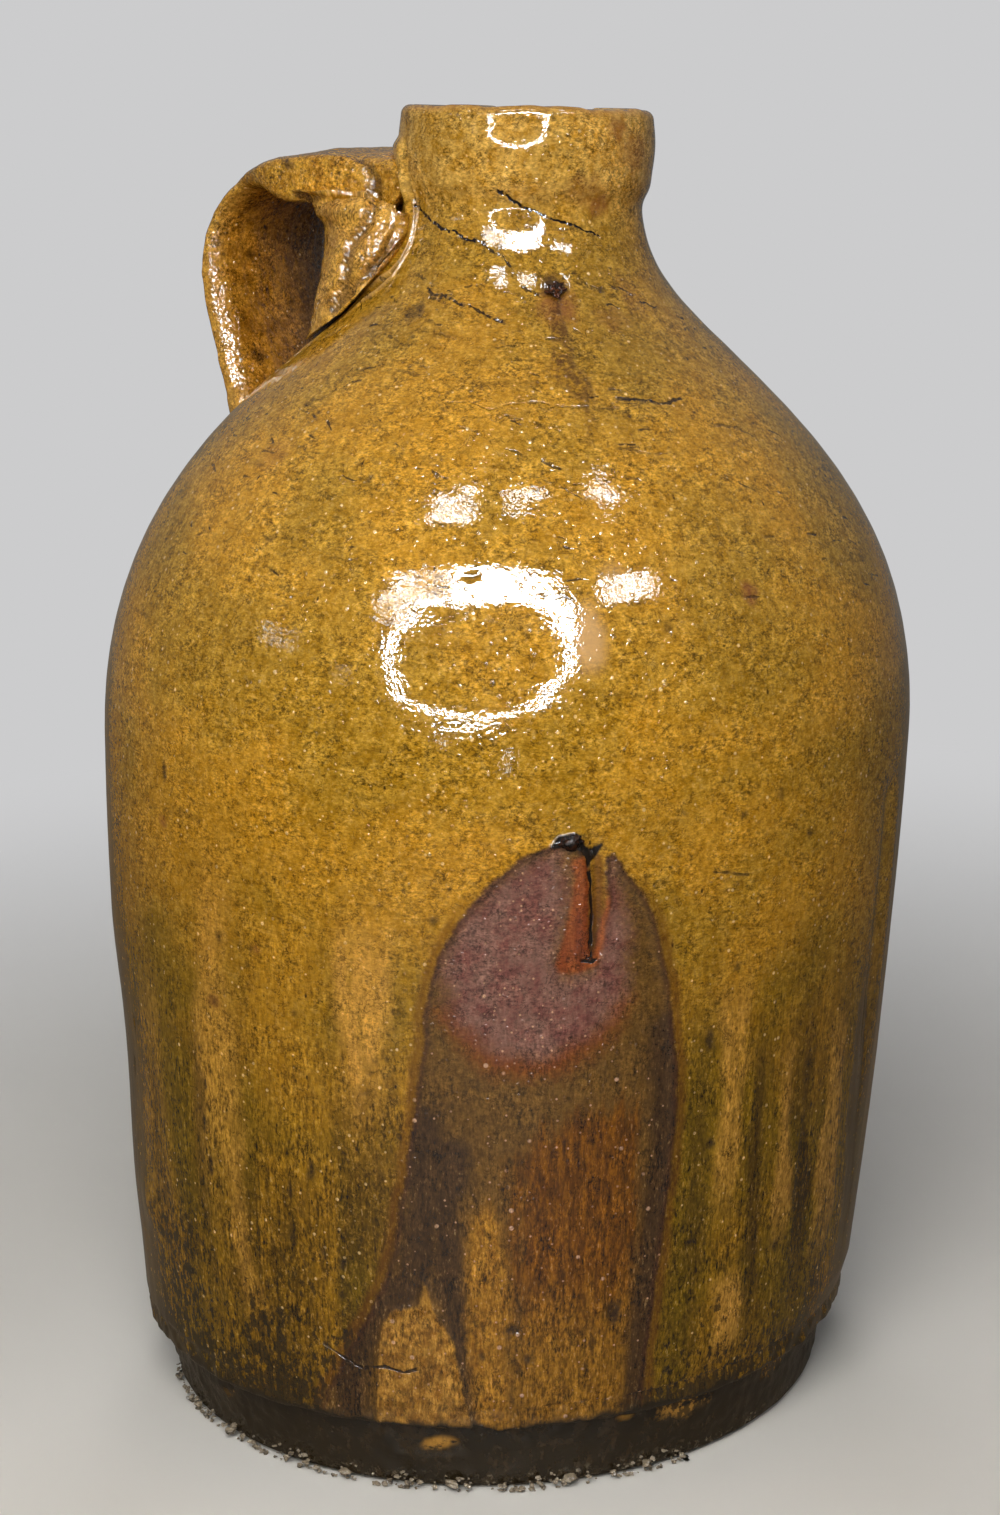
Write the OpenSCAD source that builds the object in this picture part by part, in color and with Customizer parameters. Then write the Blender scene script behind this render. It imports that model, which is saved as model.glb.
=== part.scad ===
// Stoneware crock jug: a wheel-thrown one-gallon jug with a straight collar mouth, a pulled strap
// handle luted to the neck and the shoulder, and the lumps that the kiln left on it.
// The jug stands a little crooked. Its foot is cut square to the table, and everything above the
// heel leans about a point at heel height.

/* [Jug] */
// Height of the jug along its own axis
height = 285; // [265:1:320]
// Diameter at the widest place
belly_d = 180; // [166:1:200]
// Height of the widest place
belly_h = 152; // [120:1:170]
// Diameter of the wall just above the heel
heel_d = 164; // [158:1:176]
// Thickness of the thrown wall
wall_t = 8; // [5:0.5:11]
// Thickness of the floor in the middle
floor_t = 13; // [9:0.5:20]
// Radius between the floor and the wall inside
floor_r = 16; // [8:1:30]

/* [Foot] */
// Diameter of the foot on the table
foot_d = 152; // [136:1:156]
// Diameter of the dark foot band where it meets the ledge
band_d = 157; // [146:1:158]
// Height of the band, up to the ledge
foot_h = 16; // [10:0.5:24]
// Rounding of the heel over the ledge
heel_r = 2.5; // [1.5:0.5:6]
// Rounding of the foot's lower edge
foot_edge_r = 2; // [0.5:0.5:4]

/* [Neck and mouth] */
// Diameter of the neck at its waist
waist_d = 52.2; // [48:0.2:53.8]
// Diameter of the collar
collar_d = 55.8; // [54:0.2:64]
// Height of the straight collar
collar_h = 15; // [10:0.5:24]
// Height from the waist up to the collar
throat_h = 7; // [4:0.5:12]
// Rounding of the rim outside
rim_r = 2; // [1:0.5:4]
// Diameter of the mouth
mouth_d = 30; // [24:0.5:36]
// Length of the straight mouth, from the rim down
mouth_l = 32; // [24:0.5:40]
// Rounding of the rim inside
rim_in_r = 1.5; // [0.5:0.5:3]

/* [Lean] */
// Angle by which the jug leans out of plumb
lean = 3; // [0:0.5:5]
// Compass direction that it leans towards, from +X
lean_angle = 38; // [-180:1:180]

/* [Strap handle] */
// Distance from the jug's axis to the outside of the handle
handle_reach = 84; // [76:1:92]
// Drop from the rim to the top of the strap where it leaves the neck
handle_drop = 9.6; // [7:0.2:12]
// Rise of the strap as it bends over
handle_crown = 2; // [0:0.5:5]
// Drop from the top of the strap to the place where it reaches furthest out
bulge_drop = 28; // [22:1:34]
// Width of the strap
strap_w = 35; // [26:1:42]
// Thickness of the strap
strap_t = 8.5; // [6:0.5:11]
// Depth of the hollow that the thumb drew along the outside of the strap
strap_dish = 1.1; // [0:0.1:2]
// Height of the strap's root on the neck
root_t = 13; // [10:0.5:18]
// Width of the root, measured round the neck
root_w = 54; // [40:1:60]
// Distance that the tail comes in from the reach before it meets the shoulder
tail_tuck = 11; // [8:0.5:16]
// Thickness of the tail where it meets the shoulder
tail_t = 8.5; // [6:0.5:12]
// Width of the tail on the shoulder
tail_w = 41; // [30:1:50]

/* [Luting clay] */
// Space left between two pieces that are luted together
luting_gap = 0.3; // [0.2:0.05:0.5]
// Distance from the axis to the face of the wad under the root
wad_reach = 48; // [40:0.5:52]
// Angle that the wad reaches round the neck, to each side
wad_angle = 63; // [40:1:75]
// Length of the thumbed tongue below the tail
tongue_l = 26; // [14:1:40]
// Width of the tongue
tongue_w = 38; // [16:1:44]
// Thickness of the tongue
tongue_t = 4.5; // [2:0.5:7]
// Depth of the thumb print in the tongue
thumb_depth = 1.6; // [0:0.1:2]

/* [Kiln marks] */
// Compass direction of the slag lump on the belly
slag_angle = -43.9; // [-180:0.1:180]
// Drop from the widest place to the slag lump
slag_drop = 6; // [-20:1:40]
// Width of the slag lump
slag_w = 6.4; // [3:0.1:12]
// Length of the slag lump
slag_l = 4.6; // [3:0.1:12]
// Thickness of the slag lump
slag_t = 2.2; // [1:0.1:4]
// Compass direction of the crusted drip on the neck
drip_angle = -40.6; // [-180:0.1:180]
// Drop from the rim to the crusted drip
drip_drop = 37; // [30:0.5:46]
// Width of the crusted drip
drip_w = 7; // [3:0.1:10]
// Length of the crusted drip
drip_l = 6; // [3:0.1:10]
// Thickness of the crusted drip
drip_t = 1.6; // [0.8:0.1:3]
// Number of crumbs of kiln grit along the foot
grit_count = 18; // [4:1:30]
// Diameter of the smallest crumb
grit_small_d = 1.6; // [1:0.1:2.5]
// Diameter of the largest crumb
grit_large_d = 3.2; // [2.5:0.1:5]
// Compass direction where the crumbs start
grit_start_angle = -128; // [-180:1:180]
// Angle along which the crumbs lie
grit_angle = 112; // [20:1:180]

/* [Hidden] */

round_fn = 96;
overrun = 1;

// Points along the curves
wall_steps = 14;
shoulder_steps = 26;
throat_steps = 5;
arc_steps = 4;
strap_steps = 20;
strap_sides = 36;
cap_steps = 5;
wad_steps = 22;
wad_rows = 8;
wad_top_steps = 8;
pad_sides = 24;
pad_steps = 5;
crumb_sides = 7;

// How the curves pull, as shares of the span between their ends
wall_low_share = [0.42, 0.2];
wall_high_share = 0.28;
shoulder_low_share = 0.64;
shoulder_high_share = 0.257;
inner_low_share = 0.62;
inner_high_share = 0.27;
throat_share = 0.5;
strap_top_share = 0.69;
strap_turn_share = 0.68;
strap_inner_top_share = 0.39;
strap_inner_crown_share = 0.55;
strap_inner_turn_share = 1.25;
strap_fall_share = 0.3;
strap_in_share = [0.2, 0.36];
strap_inner_in_share = [0.4, 0.18];
root_blend_share = 0.3;
tail_blend_share = 0.15;
dish_blend_share = 0.2;
dish_width_share = 0.42;
wad_face_share = [0.94, 0.85];
wad_foot_share = 0.45;
wad_end_share = 0.97;
tongue_top_share = 0.12;
thumb_size_share = 0.6;
drip_top_share = 0.8;
section_power = 2.3;
tip_power = 4;

// What scatters the crumbs of grit
crumb_power = 2;
scatter_turn = 137.5;
scatter_seed = 71;
scatter_gain = 43.7;

belly_r = belly_d / 2;
wall_r = heel_d / 2;
foot_r = foot_d / 2;
band_r = band_d / 2;
waist_r = waist_d / 2;
collar_r = collar_d / 2;
mouth_r = mouth_d / 2;
heel_h = foot_h + heel_r;
lean_h = heel_h;
collar_low_h = height - collar_h;
waist_h = collar_low_h - throat_h;
throat_low_h = height - mouth_l;
skirt = belly_d * sin(lean) + overrun;

function smooth(u) = let (c = max(0, min(1, u))) c * c * (3 - 2 * c);
function lerp(a, b, u) = a + (b - a) * u;
function bezier(a, b, c, d, steps) = [for (i = [0 : steps]) let (t = i / steps)
    pow(1 - t, 3) * a + 3 * pow(1 - t, 2) * t * b + 3 * (1 - t) * t * t * c + pow(t, 3) * d];
function arc(centre, radius, from, to) = [for (i = [0 : arc_steps])
    let (turn = lerp(from, to, i / arc_steps)) centre + radius * [cos(turn), sin(turn)]];
function rest(list) = [for (i = [1 : len(list) - 1]) list[i]];
function flip(list) = [for (i = [len(list) - 1 : -1 : 0]) list[i]];

// The outside of the jug, from the heel to the rim, as [radius, height]
wall_curve = bezier(
    [wall_r, heel_h],
    [lerp(wall_r, belly_r, wall_low_share[0]), lerp(heel_h, belly_h, wall_low_share[1])],
    [belly_r, lerp(belly_h, heel_h, wall_high_share)],
    [belly_r, belly_h], wall_steps);
shoulder_curve = bezier(
    [belly_r, belly_h],
    [belly_r, lerp(belly_h, waist_h, shoulder_low_share)],
    [waist_r, lerp(waist_h, belly_h, shoulder_high_share)],
    [waist_r, waist_h], shoulder_steps);
throat_curve = bezier(
    [waist_r, waist_h],
    [waist_r, lerp(waist_h, collar_low_h, throat_share)],
    [collar_r, lerp(collar_low_h, waist_h, throat_share)],
    [collar_r, collar_low_h], throat_steps);
rim_arc = arc([collar_r - rim_r, height - rim_r], rim_r, 0, 90);
side_outline = concat(wall_curve, rest(shoulder_curve), rest(throat_curve), rim_arc);
side_table = [for (p = side_outline) [p[1], p[0]]];
shoulder_table = flip(shoulder_curve);

// Radius of the jug at a height, and the height at which the shoulder has a radius
function shell_r(h) = lookup(h, side_table);
function shoulder_h(radius) = lookup(radius, shoulder_table);

// The hollow inside, down the mouth to the floor
cavity_wall = bezier(
    [wall_r - wall_t, floor_t + floor_r],
    [lerp(wall_r, belly_r, wall_low_share[0]) - wall_t, lerp(heel_h, belly_h, wall_low_share[1]) + floor_r],
    [belly_r - wall_t, lerp(belly_h, heel_h, wall_high_share)],
    [belly_r - wall_t, belly_h], wall_steps);
cavity_shoulder = bezier(
    [belly_r - wall_t, belly_h],
    [belly_r - wall_t, lerp(belly_h, throat_low_h, inner_low_share)],
    [mouth_r, lerp(throat_low_h, belly_h, inner_high_share)],
    [mouth_r, throat_low_h], shoulder_steps);
cavity_outline = concat(
    [[0, floor_t]],
    arc([wall_r - wall_t - floor_r, floor_t + floor_r], floor_r, -90, 0),
    rest(cavity_wall),
    rest(cavity_shoulder),
    flip(arc([mouth_r + rim_in_r, height - rim_in_r], rim_in_r, 90, 180)),
    [[mouth_r + rim_in_r, height + overrun], [0, height + overrun]]);
outer_outline = concat([[0, -skirt], [wall_r, -skirt]], side_outline, [[0, height]]);

// What the foot is cut to: flat base, rounded edge, band, ledge and heel
foot_cut_outline = concat(
    [[0, -skirt * 2 - overrun], [belly_d, -skirt * 2 - overrun], [belly_d, heel_h]],
    arc([wall_r + luting_gap - heel_r, heel_h], heel_r, 0, -90),
    [[band_r, foot_h]],
    arc([foot_r - foot_edge_r, foot_edge_r], foot_edge_r, 0, -90),
    [[0, 0]]);

module leaning() {
    translate([0, 0, lean_h])
        rotate([0, 0, lean_angle])
            rotate([0, lean, 0])
                rotate([0, 0, -lean_angle])
                    translate([0, 0, -lean_h])
                        children();
}

module jug_body() {
    color([0.62, 0.45, 0.16])
        difference() {
            leaning() rotate_extrude($fn = round_fn) polygon(outer_outline);
            leaning() rotate_extrude($fn = round_fn) polygon(cavity_outline);
            rotate_extrude($fn = round_fn) polygon(foot_cut_outline);
        }
}

// Skins a list of rings with equal counts of points, open or closed at the ends by a single point
function skin_faces(rings, sides) = [for (i = [0 : rings - 2]) for (j = [0 : sides - 1])
    let (k = (j + 1) % sides, a = i * sides) each [
        [a + j, a + k, a + sides + k],
        [a + j, a + sides + k, a + sides + j]]];
function fan_faces(first, sides, centre, forward) = [for (j = [0 : sides - 1])
    let (k = (j + 1) % sides) forward ? [centre, first + k, first + j] : [centre, first + j, first + k]];

module skinned(rings, start, end) {
    sides = len(rings[0]);
    count = len(rings);
    points = concat([for (ring = rings) each ring], [start, end]);
    polyhedron(points, concat(
        fan_faces(0, sides, count * sides, true),
        skin_faces(count, sides),
        fan_faces((count - 1) * sides, sides, count * sides + 1, false)));
}

// The strap lies between an outer and an inner line in the handle's own plane, as [radius, height]
strap_top_h = height - handle_drop;
bulge_h = strap_top_h - bulge_drop;
inner_reach = handle_reach - strap_t;
root_in_h = strap_top_h - root_t;
tail_out_r = handle_reach - tail_tuck;
tail_in_r = tail_out_r - tail_t;
root_out = [shell_r(strap_top_h) + luting_gap, strap_top_h];
root_in = [shell_r(root_in_h) + luting_gap, root_in_h];
tail_out = [tail_out_r + luting_gap, shoulder_h(tail_out_r)];
tail_in = [tail_in_r + luting_gap, shoulder_h(tail_in_r)];
bulge_out = [handle_reach, bulge_h];
bulge_in = [inner_reach, bulge_h];
under_h = strap_top_h - strap_t;

outer_line = concat(
    bezier(root_out,
        [lerp(root_out[0], handle_reach, strap_top_share), strap_top_h + handle_crown],
        [handle_reach, lerp(bulge_h, strap_top_h, strap_turn_share)],
        bulge_out, strap_steps),
    rest(bezier(bulge_out,
        [handle_reach, lerp(bulge_h, tail_out[1], strap_fall_share)],
        [lerp(tail_out[0], handle_reach, strap_in_share[0]),
            lerp(tail_out[1], bulge_h, strap_in_share[1])],
        tail_out, strap_steps)));
inner_line = concat(
    bezier(root_in,
        [lerp(root_in[0], inner_reach, strap_inner_top_share),
            under_h + handle_crown * strap_inner_crown_share],
        [inner_reach, lerp(bulge_h, under_h, strap_inner_turn_share)],
        bulge_in, strap_steps),
    rest(bezier(bulge_in,
        [inner_reach, lerp(bulge_h, tail_in[1], strap_fall_share)],
        [lerp(tail_in[0], inner_reach, strap_inner_in_share[0]),
            lerp(tail_in[1], bulge_h, strap_inner_in_share[1])],
        tail_in, strap_steps)));
strap_last = len(outer_line) - 1;

// A rounded section, squarer than an ellipse, as [across, through], each from -1 to 1
function squared(x) = sign(x) * pow(abs(x), 2 / section_power);
function section(j) = let (turn = 360 * j / strap_sides) [squared(cos(turn)), squared(sin(turn))];

// A point at a radius, a distance round and a height, bent round the axis where bend is 1
function wrapped(radius, across, h, bend) = let (turn = across / radius * 180 / PI) [
    -radius * lerp(1, cos(turn), bend),
    lerp(across, radius * sin(turn), bend),
    h];

function strap_width(s) = strap_w
    + (root_w - strap_w) * (1 - smooth(s / root_blend_share))
    + (tail_w - strap_w) * smooth((s - 1 + tail_blend_share) / tail_blend_share);
function strap_bend(s) = 1 - smooth(s / root_blend_share)
    + smooth((s - 1 + tail_blend_share) / tail_blend_share);
function dish_at(s) = strap_dish * smooth(s / dish_blend_share) * smooth((1 - s) / dish_blend_share);
function strap_ring(i) = [for (j = [0 : strap_sides - 1])
    let (s = i / strap_last, q = section(j), out = outer_line[i], in = inner_line[i],
        dish = max(0, q[1]) * dish_at(s) * (1 - smooth(abs(q[0]) / dish_width_share)),
        along = (q[1] + 1) / 2 - dish / norm(out - in),
        p = lerp(in, out, along))
    wrapped(p[0], q[0] * strap_width(s) / 2, p[1], strap_bend(s))];

// The strap's ends lie on the jug: rings that shrink to a point, each point a gap off the surface
function seat_point(across, h) = wrapped(shell_r(h) + luting_gap, across, h, 1);
function seat_ring(in, out, width, size) = [for (j = [0 : strap_sides - 1]) let (q = section(j) * size)
    seat_point(q[0] * width / 2, lerp(in[1], out[1], (q[1] + 1) / 2))];
function seat_middle(in, out) = seat_point(0, (in[1] + out[1]) / 2);
strap_rings = concat(
    [for (i = [1 : cap_steps]) seat_ring(root_in, root_out, root_w, i / cap_steps)],
    [for (i = [1 : strap_last - 1]) strap_ring(i)],
    [for (i = [cap_steps : -1 : 1]) seat_ring(tail_in, tail_out, tail_w, i / cap_steps)]);

module strap_handle() {
    color([0.66, 0.47, 0.2])
        leaning() skinned(strap_rings, seat_middle(root_in, root_out), seat_middle(tail_in, tail_out));
}

// The wad fills the hollow of the neck below the strap's root and thins out round the neck
wad_low = [shell_r(shoulder_h(wad_reach)) + luting_gap, shoulder_h(wad_reach)];
wad_high_h = root_in_h - luting_gap;
wad_top_line = [for (i = [1 : wad_top_steps]) inner_line[i] - [0, luting_gap]];
wad_top = wad_top_line[wad_top_steps - 1];
wad_face_line = bezier(wad_top,
    [wad_reach * wad_face_share[0], lerp(wad_low[1], wad_top[1], wad_face_share[1])],
    [wad_reach, lerp(wad_low[1], wad_top[1], wad_foot_share)],
    wad_low, wad_rows);
wad_outside = concat(wad_top_line, [for (i = [1 : wad_rows - 1]) wad_face_line[i]]);
function wad_seat(h) = [shell_r(h) + luting_gap, h];
function wad_ring(turn) =
    let (u = abs(turn) / wad_angle,
        size = sqrt(1 - u * u),
        low = lerp(wad_low[1], wad_high_h, pow(u, tip_power)),
        inside = [for (i = [0 : wad_rows]) wad_seat(lerp(low, wad_high_h, i / wad_rows))],
        outside = [for (p = wad_outside)
            let (up = min(1, (p[1] - wad_low[1]) / (wad_high_h - wad_low[1])),
                seat = wad_seat(lerp(low, wad_high_h, up)))
            lerp(seat, p, size)])
    [for (p = concat(inside, outside)) [-p[0] * cos(turn), p[0] * sin(turn), p[1]]];
wad_end = wad_angle * wad_end_share;
wad_rings = [for (i = [0 : wad_steps]) wad_ring(wad_end * sin(lerp(-90, 90, i / wad_steps)))];
function middle(ring) = [for (k = [0 : 2]) let (c = [for (p = ring) p[k]]) (min(c) + max(c)) / 2];

module root_wad() {
    color([0.6, 0.42, 0.18])
        leaning() skinned(wad_rings, middle(wad_rings[0]), middle(wad_rings[wad_steps]));
}

// A low lump on the jug's side. Above its middle it is shorter, by top_share, than below it.
function pad_point(turn, h, width, length, top_share, reach, around, lift) =
    let (across = reach * cos(around) * width / 2,
        up = reach * sin(around) * length * (sin(around) > 0 ? top_share : 1),
        radius = shell_r(h + up) + luting_gap,
        bearing = turn + across / radius * 180 / PI)
    [(radius + lift) * cos(bearing), (radius + lift) * sin(bearing), h + up];
function pad_ring(turn, h, width, length, top_share, reach, lift) = [for (j = [0 : pad_sides - 1])
    pad_point(turn, h, width, length, top_share, reach, 360 * j / pad_sides, lift)];

module pad(turn, h, width, length, thick, top_share, dent = 0) {
    function lift_at(reach) = thick * sqrt(1 - reach * reach)
        - dent * (1 - smooth(reach / thumb_size_share));
    edge = [for (i = [1 : pad_steps]) i / pad_steps];
    base = [for (reach = edge) pad_ring(turn, h, width, length, top_share, reach, 0)];
    crown = [for (i = [1 : pad_steps - 1]) let (reach = sin(90 * i / pad_steps))
        pad_ring(turn, h, width, length, top_share, reach, lift_at(reach))];
    skinned(concat(crown, flip(base)),
        pad_point(turn, h, width, length, top_share, 0, 0, lift_at(0)),
        pad_point(turn, h, width, length, top_share, 0, 0, 0));
}

tongue_high_h = tail_out[1] - luting_gap - tongue_l * tongue_top_share;

module tail_wad() {
    color([0.6, 0.42, 0.18])
        leaning() pad(180, tongue_high_h, tongue_w, tongue_l, tongue_t, tongue_top_share, thumb_depth);
}

slag_low_l = slag_l / (1 + drip_top_share);
drip_low_l = drip_l / (1 + drip_top_share);

module kiln_drips() {
    color([0.16, 0.1, 0.06])
        leaning() {
            pad(slag_angle, belly_h - slag_drop, slag_w, slag_low_l, slag_t, drip_top_share);
            pad(drip_angle, height - drip_drop, drip_w, drip_low_l, drip_t, drip_top_share);
        }
}

// Crumbs of grit burnt on along the foot band, of uneven size and place
function band_at(h) = lerp(foot_r, band_r, h / foot_h);
function uneven(i, seed) = let (v = sin(i * scatter_turn + seed * scatter_seed) * scatter_gain) v - floor(v);

module foot_grit() {
    color([0.72, 0.68, 0.6])
        for (i = [0 : grit_count - 1])
            let (d = lerp(grit_small_d, grit_large_d, pow(uneven(i, 1), crumb_power)),
                bearing = grit_start_angle + grit_angle * (i + uneven(i, 2) / 2) / grit_count)
                rotate([0, 0, bearing])
                    translate([band_at(foot_edge_r + d / 2) + luting_gap + d / 2, 0, foot_edge_r + d / 2])
                        rotate([0, 0, uneven(i, 3) * 360])
                            sphere(d = d, $fn = crumb_sides);
}

jug_body();
strap_handle();
root_wad();
tail_wad();
kiln_drips();
foot_grit();
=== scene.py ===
"""The looks of the stoneware crock jug, in metres, in the CAD part's frame."""

import math

import bmesh
import bpy
import numpy as np
from mathutils import Matrix, Vector


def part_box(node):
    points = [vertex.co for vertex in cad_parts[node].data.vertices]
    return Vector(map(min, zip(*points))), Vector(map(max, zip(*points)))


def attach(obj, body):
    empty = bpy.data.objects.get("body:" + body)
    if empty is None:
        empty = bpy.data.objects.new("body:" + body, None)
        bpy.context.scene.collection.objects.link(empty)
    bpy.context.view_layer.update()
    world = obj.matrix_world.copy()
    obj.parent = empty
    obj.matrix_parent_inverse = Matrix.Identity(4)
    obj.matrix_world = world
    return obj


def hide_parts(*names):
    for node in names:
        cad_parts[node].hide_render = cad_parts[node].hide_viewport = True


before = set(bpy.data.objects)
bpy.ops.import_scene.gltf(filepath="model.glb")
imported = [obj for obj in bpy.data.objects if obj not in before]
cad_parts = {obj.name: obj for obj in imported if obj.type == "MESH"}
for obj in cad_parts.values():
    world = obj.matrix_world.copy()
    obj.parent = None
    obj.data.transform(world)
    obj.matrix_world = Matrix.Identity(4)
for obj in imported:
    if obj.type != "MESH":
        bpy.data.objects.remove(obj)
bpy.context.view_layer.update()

# Sizes in mm, the same as in the part's source
HEIGHT, BELLY_R, BELLY_H, WALL_R, WALL_T, FLOOR_T, FLOOR_R = 285, 90, 152, 82, 8, 13, 16
FOOT_R, BAND_R, FOOT_H, HEEL_R, FOOT_EDGE_R, HEEL_H = 76, 78.5, 16, 2.5, 2, 18.5
WAIST_R, COLLAR_R, COLLAR_LOW_H, WAIST_H, RIM_R = 26.1, 27.9, 270, 263, 2
MOUTH_R, THROAT_LOW_H, RIM_IN_R, GAP = 15, 253, 1.5, 0.3
LEAN, LEAN_ANGLE = 3, 38
FRONT = -52
# The jug's side is unrolled at one radius, and its flowing noise lies on a cylinder of the other
UNROLL_R, FLOW_R = 88, 90.0
# The slow S of the slumped wall: mm toward LEAN_ANGLE at each height
SWAY_H = [0, 24, 60, 105, 150, 195, 235, 290]
SWAY = [0, 0, -0.35, -0.6, -0.4, 0.3, 0.7, 0.7]
COLS, STEP = 1000, 0.6  # Points round each ring of the jug, and mm between its rings
BASE, FOOT, BODY, LIP, INSIDE = range(5)  # The zones of its skin


def lerp(a, b, u):
    return a + (b - a) * u


def smooth(u):
    c = np.clip(u, 0, 1)
    return c * c * (3 - 2 * c)


def bump(u):
    """1 at 0, falling smoothly to 0 at -1 and 1."""
    return smooth(1 - np.abs(u))


def bezier(a, b, c, d, steps):
    t = np.linspace(0, 1, steps + 1)[:, None]
    a, b, c, d = (np.array(p, float) for p in (a, b, c, d))
    return (1 - t) ** 3 * a + 3 * (1 - t) ** 2 * t * b + 3 * (1 - t) * t * t * c + t**3 * d


def arc(centre, radius, start, end, steps):
    t = np.radians(np.linspace(start, end, steps + 1))
    return np.array(centre) + radius * np.stack([np.cos(t), np.sin(t)], -1)


def spaced(line, step):
    """The same line with points about step apart."""
    run = np.concatenate([[0], np.cumsum(np.linalg.norm(np.diff(line, axis=0), axis=1))])
    at = np.linspace(0, run[-1], max(2, int(round(run[-1] / step)) + 1))
    return np.stack([np.interp(at, run, line[:, k]) for k in range(line.shape[1])], -1)


# The jug's outside and its hollow, as [radius, height] along its own axis
WALL = bezier([WALL_R, HEEL_H], [lerp(WALL_R, BELLY_R, 0.42), lerp(HEEL_H, BELLY_H, 0.2)],
              [BELLY_R, lerp(BELLY_H, HEEL_H, 0.28)], [BELLY_R, BELLY_H], 200)
SHOULDER = bezier([BELLY_R, BELLY_H], [BELLY_R, lerp(BELLY_H, WAIST_H, 0.64)],
                  [WAIST_R, lerp(WAIST_H, BELLY_H, 0.257)], [WAIST_R, WAIST_H], 300)
THROAT = bezier([WAIST_R, WAIST_H], [WAIST_R, lerp(WAIST_H, COLLAR_LOW_H, 0.5)],
                [COLLAR_R, lerp(COLLAR_LOW_H, WAIST_H, 0.5)], [COLLAR_R, COLLAR_LOW_H], 40)
RIM = arc([COLLAR_R - RIM_R, HEIGHT - RIM_R], RIM_R, 0, 90, 12)
SIDE = np.vstack([WALL, SHOULDER[1:], THROAT[1:], RIM])
RIM_IN = arc([MOUTH_R + RIM_IN_R, HEIGHT - RIM_IN_R], RIM_IN_R, 90, 180, 8)
HOLLOW = np.vstack([
    RIM_IN[-1:],
    bezier([BELLY_R - WALL_T, BELLY_H], [BELLY_R - WALL_T, lerp(BELLY_H, THROAT_LOW_H, 0.62)],
           [MOUTH_R, lerp(THROAT_LOW_H, BELLY_H, 0.27)], [MOUTH_R, THROAT_LOW_H], 60)[::-1],
    bezier([WALL_R - WALL_T, FLOOR_T + FLOOR_R],
           [lerp(WALL_R, BELLY_R, 0.42) - WALL_T, lerp(HEEL_H, BELLY_H, 0.2) + FLOOR_R],
           [BELLY_R - WALL_T, lerp(BELLY_H, HEEL_H, 0.28)], [BELLY_R - WALL_T, BELLY_H], 60)[-2::-1],
    arc([WALL_R - WALL_T - FLOOR_R, FLOOR_T + FLOOR_R], FLOOR_R, 0, -90, 12)[1:],
    [[4, FLOOR_T]]])


def shell_r(h):
    return np.interp(h, SIDE[:, 1], SIDE[:, 0])


def shoulder_h(radius):
    return np.interp(radius, SHOULDER[::-1, 0], SHOULDER[::-1, 1])


# The strap, as in the part's source
REACH, STRAP_T, STRAP_W, ROOT_W, TAIL_W = 84, 8.5, 35, 54, 41
STRAP_TOP = HEIGHT - 9.6
BULGE_H, UNDER_H, CROWN = STRAP_TOP - 28, STRAP_TOP - STRAP_T, 2
ROOT_IN_H, TAIL_OUT_R = STRAP_TOP - 13, REACH - 11
TAIL_IN_R = TAIL_OUT_R - 8.5
ROOT_OUT = [float(shell_r(STRAP_TOP)) + GAP, STRAP_TOP]
ROOT_IN = [float(shell_r(ROOT_IN_H)) + GAP, ROOT_IN_H]
TAIL_OUT = [TAIL_OUT_R + GAP, float(shoulder_h(TAIL_OUT_R))]
TAIL_IN = [TAIL_IN_R + GAP, float(shoulder_h(TAIL_IN_R))]
IN_REACH = REACH - STRAP_T
TONGUE_W, TONGUE_L = 38, 26
TONGUE_H = TAIL_OUT[1] - GAP - TONGUE_L * 0.12
OUTER = np.vstack([
    bezier(ROOT_OUT, [lerp(ROOT_OUT[0], REACH, 0.69), STRAP_TOP + CROWN],
           [REACH, lerp(BULGE_H, STRAP_TOP, 0.68)], [REACH, BULGE_H], 80),
    bezier([REACH, BULGE_H], [REACH, lerp(BULGE_H, TAIL_OUT[1], 0.3)],
           [lerp(TAIL_OUT[0], REACH, 0.2), lerp(TAIL_OUT[1], BULGE_H, 0.36)], TAIL_OUT, 80)[1:]])
INNER = np.vstack([
    bezier(ROOT_IN, [lerp(ROOT_IN[0], IN_REACH, 0.39), UNDER_H + CROWN * 0.55],
           [IN_REACH, lerp(BULGE_H, UNDER_H, 1.25)], [IN_REACH, BULGE_H], 80),
    bezier([IN_REACH, BULGE_H], [IN_REACH, lerp(BULGE_H, TAIL_IN[1], 0.3)],
           [lerp(TAIL_IN[0], IN_REACH, 0.4), lerp(TAIL_IN[1], BULGE_H, 0.18)], TAIL_IN, 80)[1:]])

TURN = Matrix.Rotation(math.radians(LEAN_ANGLE), 3, "Z")
TILT = np.array(TURN @ Matrix.Rotation(math.radians(LEAN), 3, "Y") @ TURN.transposed())
PIVOT = np.array([0, 0, HEEL_H])
SWAY_WAY = np.array([math.cos(math.radians(LEAN_ANGLE)), math.sin(math.radians(LEAN_ANGLE)), 0])


def stand(p):
    """Points of the upright jug, in mm, where they are on the leaning one."""
    return (p - PIVOT) @ TILT.T + PIVOT


def sway(p):
    """The slow S of a jug that slumped a little in the kiln."""
    return p + np.interp(p[..., 2], SWAY_H, SWAY)[..., None] * SWAY_WAY


def around(az, h, r):
    """Points at a bearing, height and radius."""
    a = np.radians(az)
    return np.stack([r * np.cos(a), r * np.sin(a), h + 0 * a], -1)


def from_front(az):
    """Degrees round the jug from its front, from -180 to 180."""
    return (az - FRONT + 180) % 360 - 180


def boxed(points, box):
    """Points in mm, moved no further than a CAD box, which is in metres."""
    lo, hi = (np.array(corner) * 1000 for corner in box)
    return np.clip(points, lo, hi)


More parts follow.
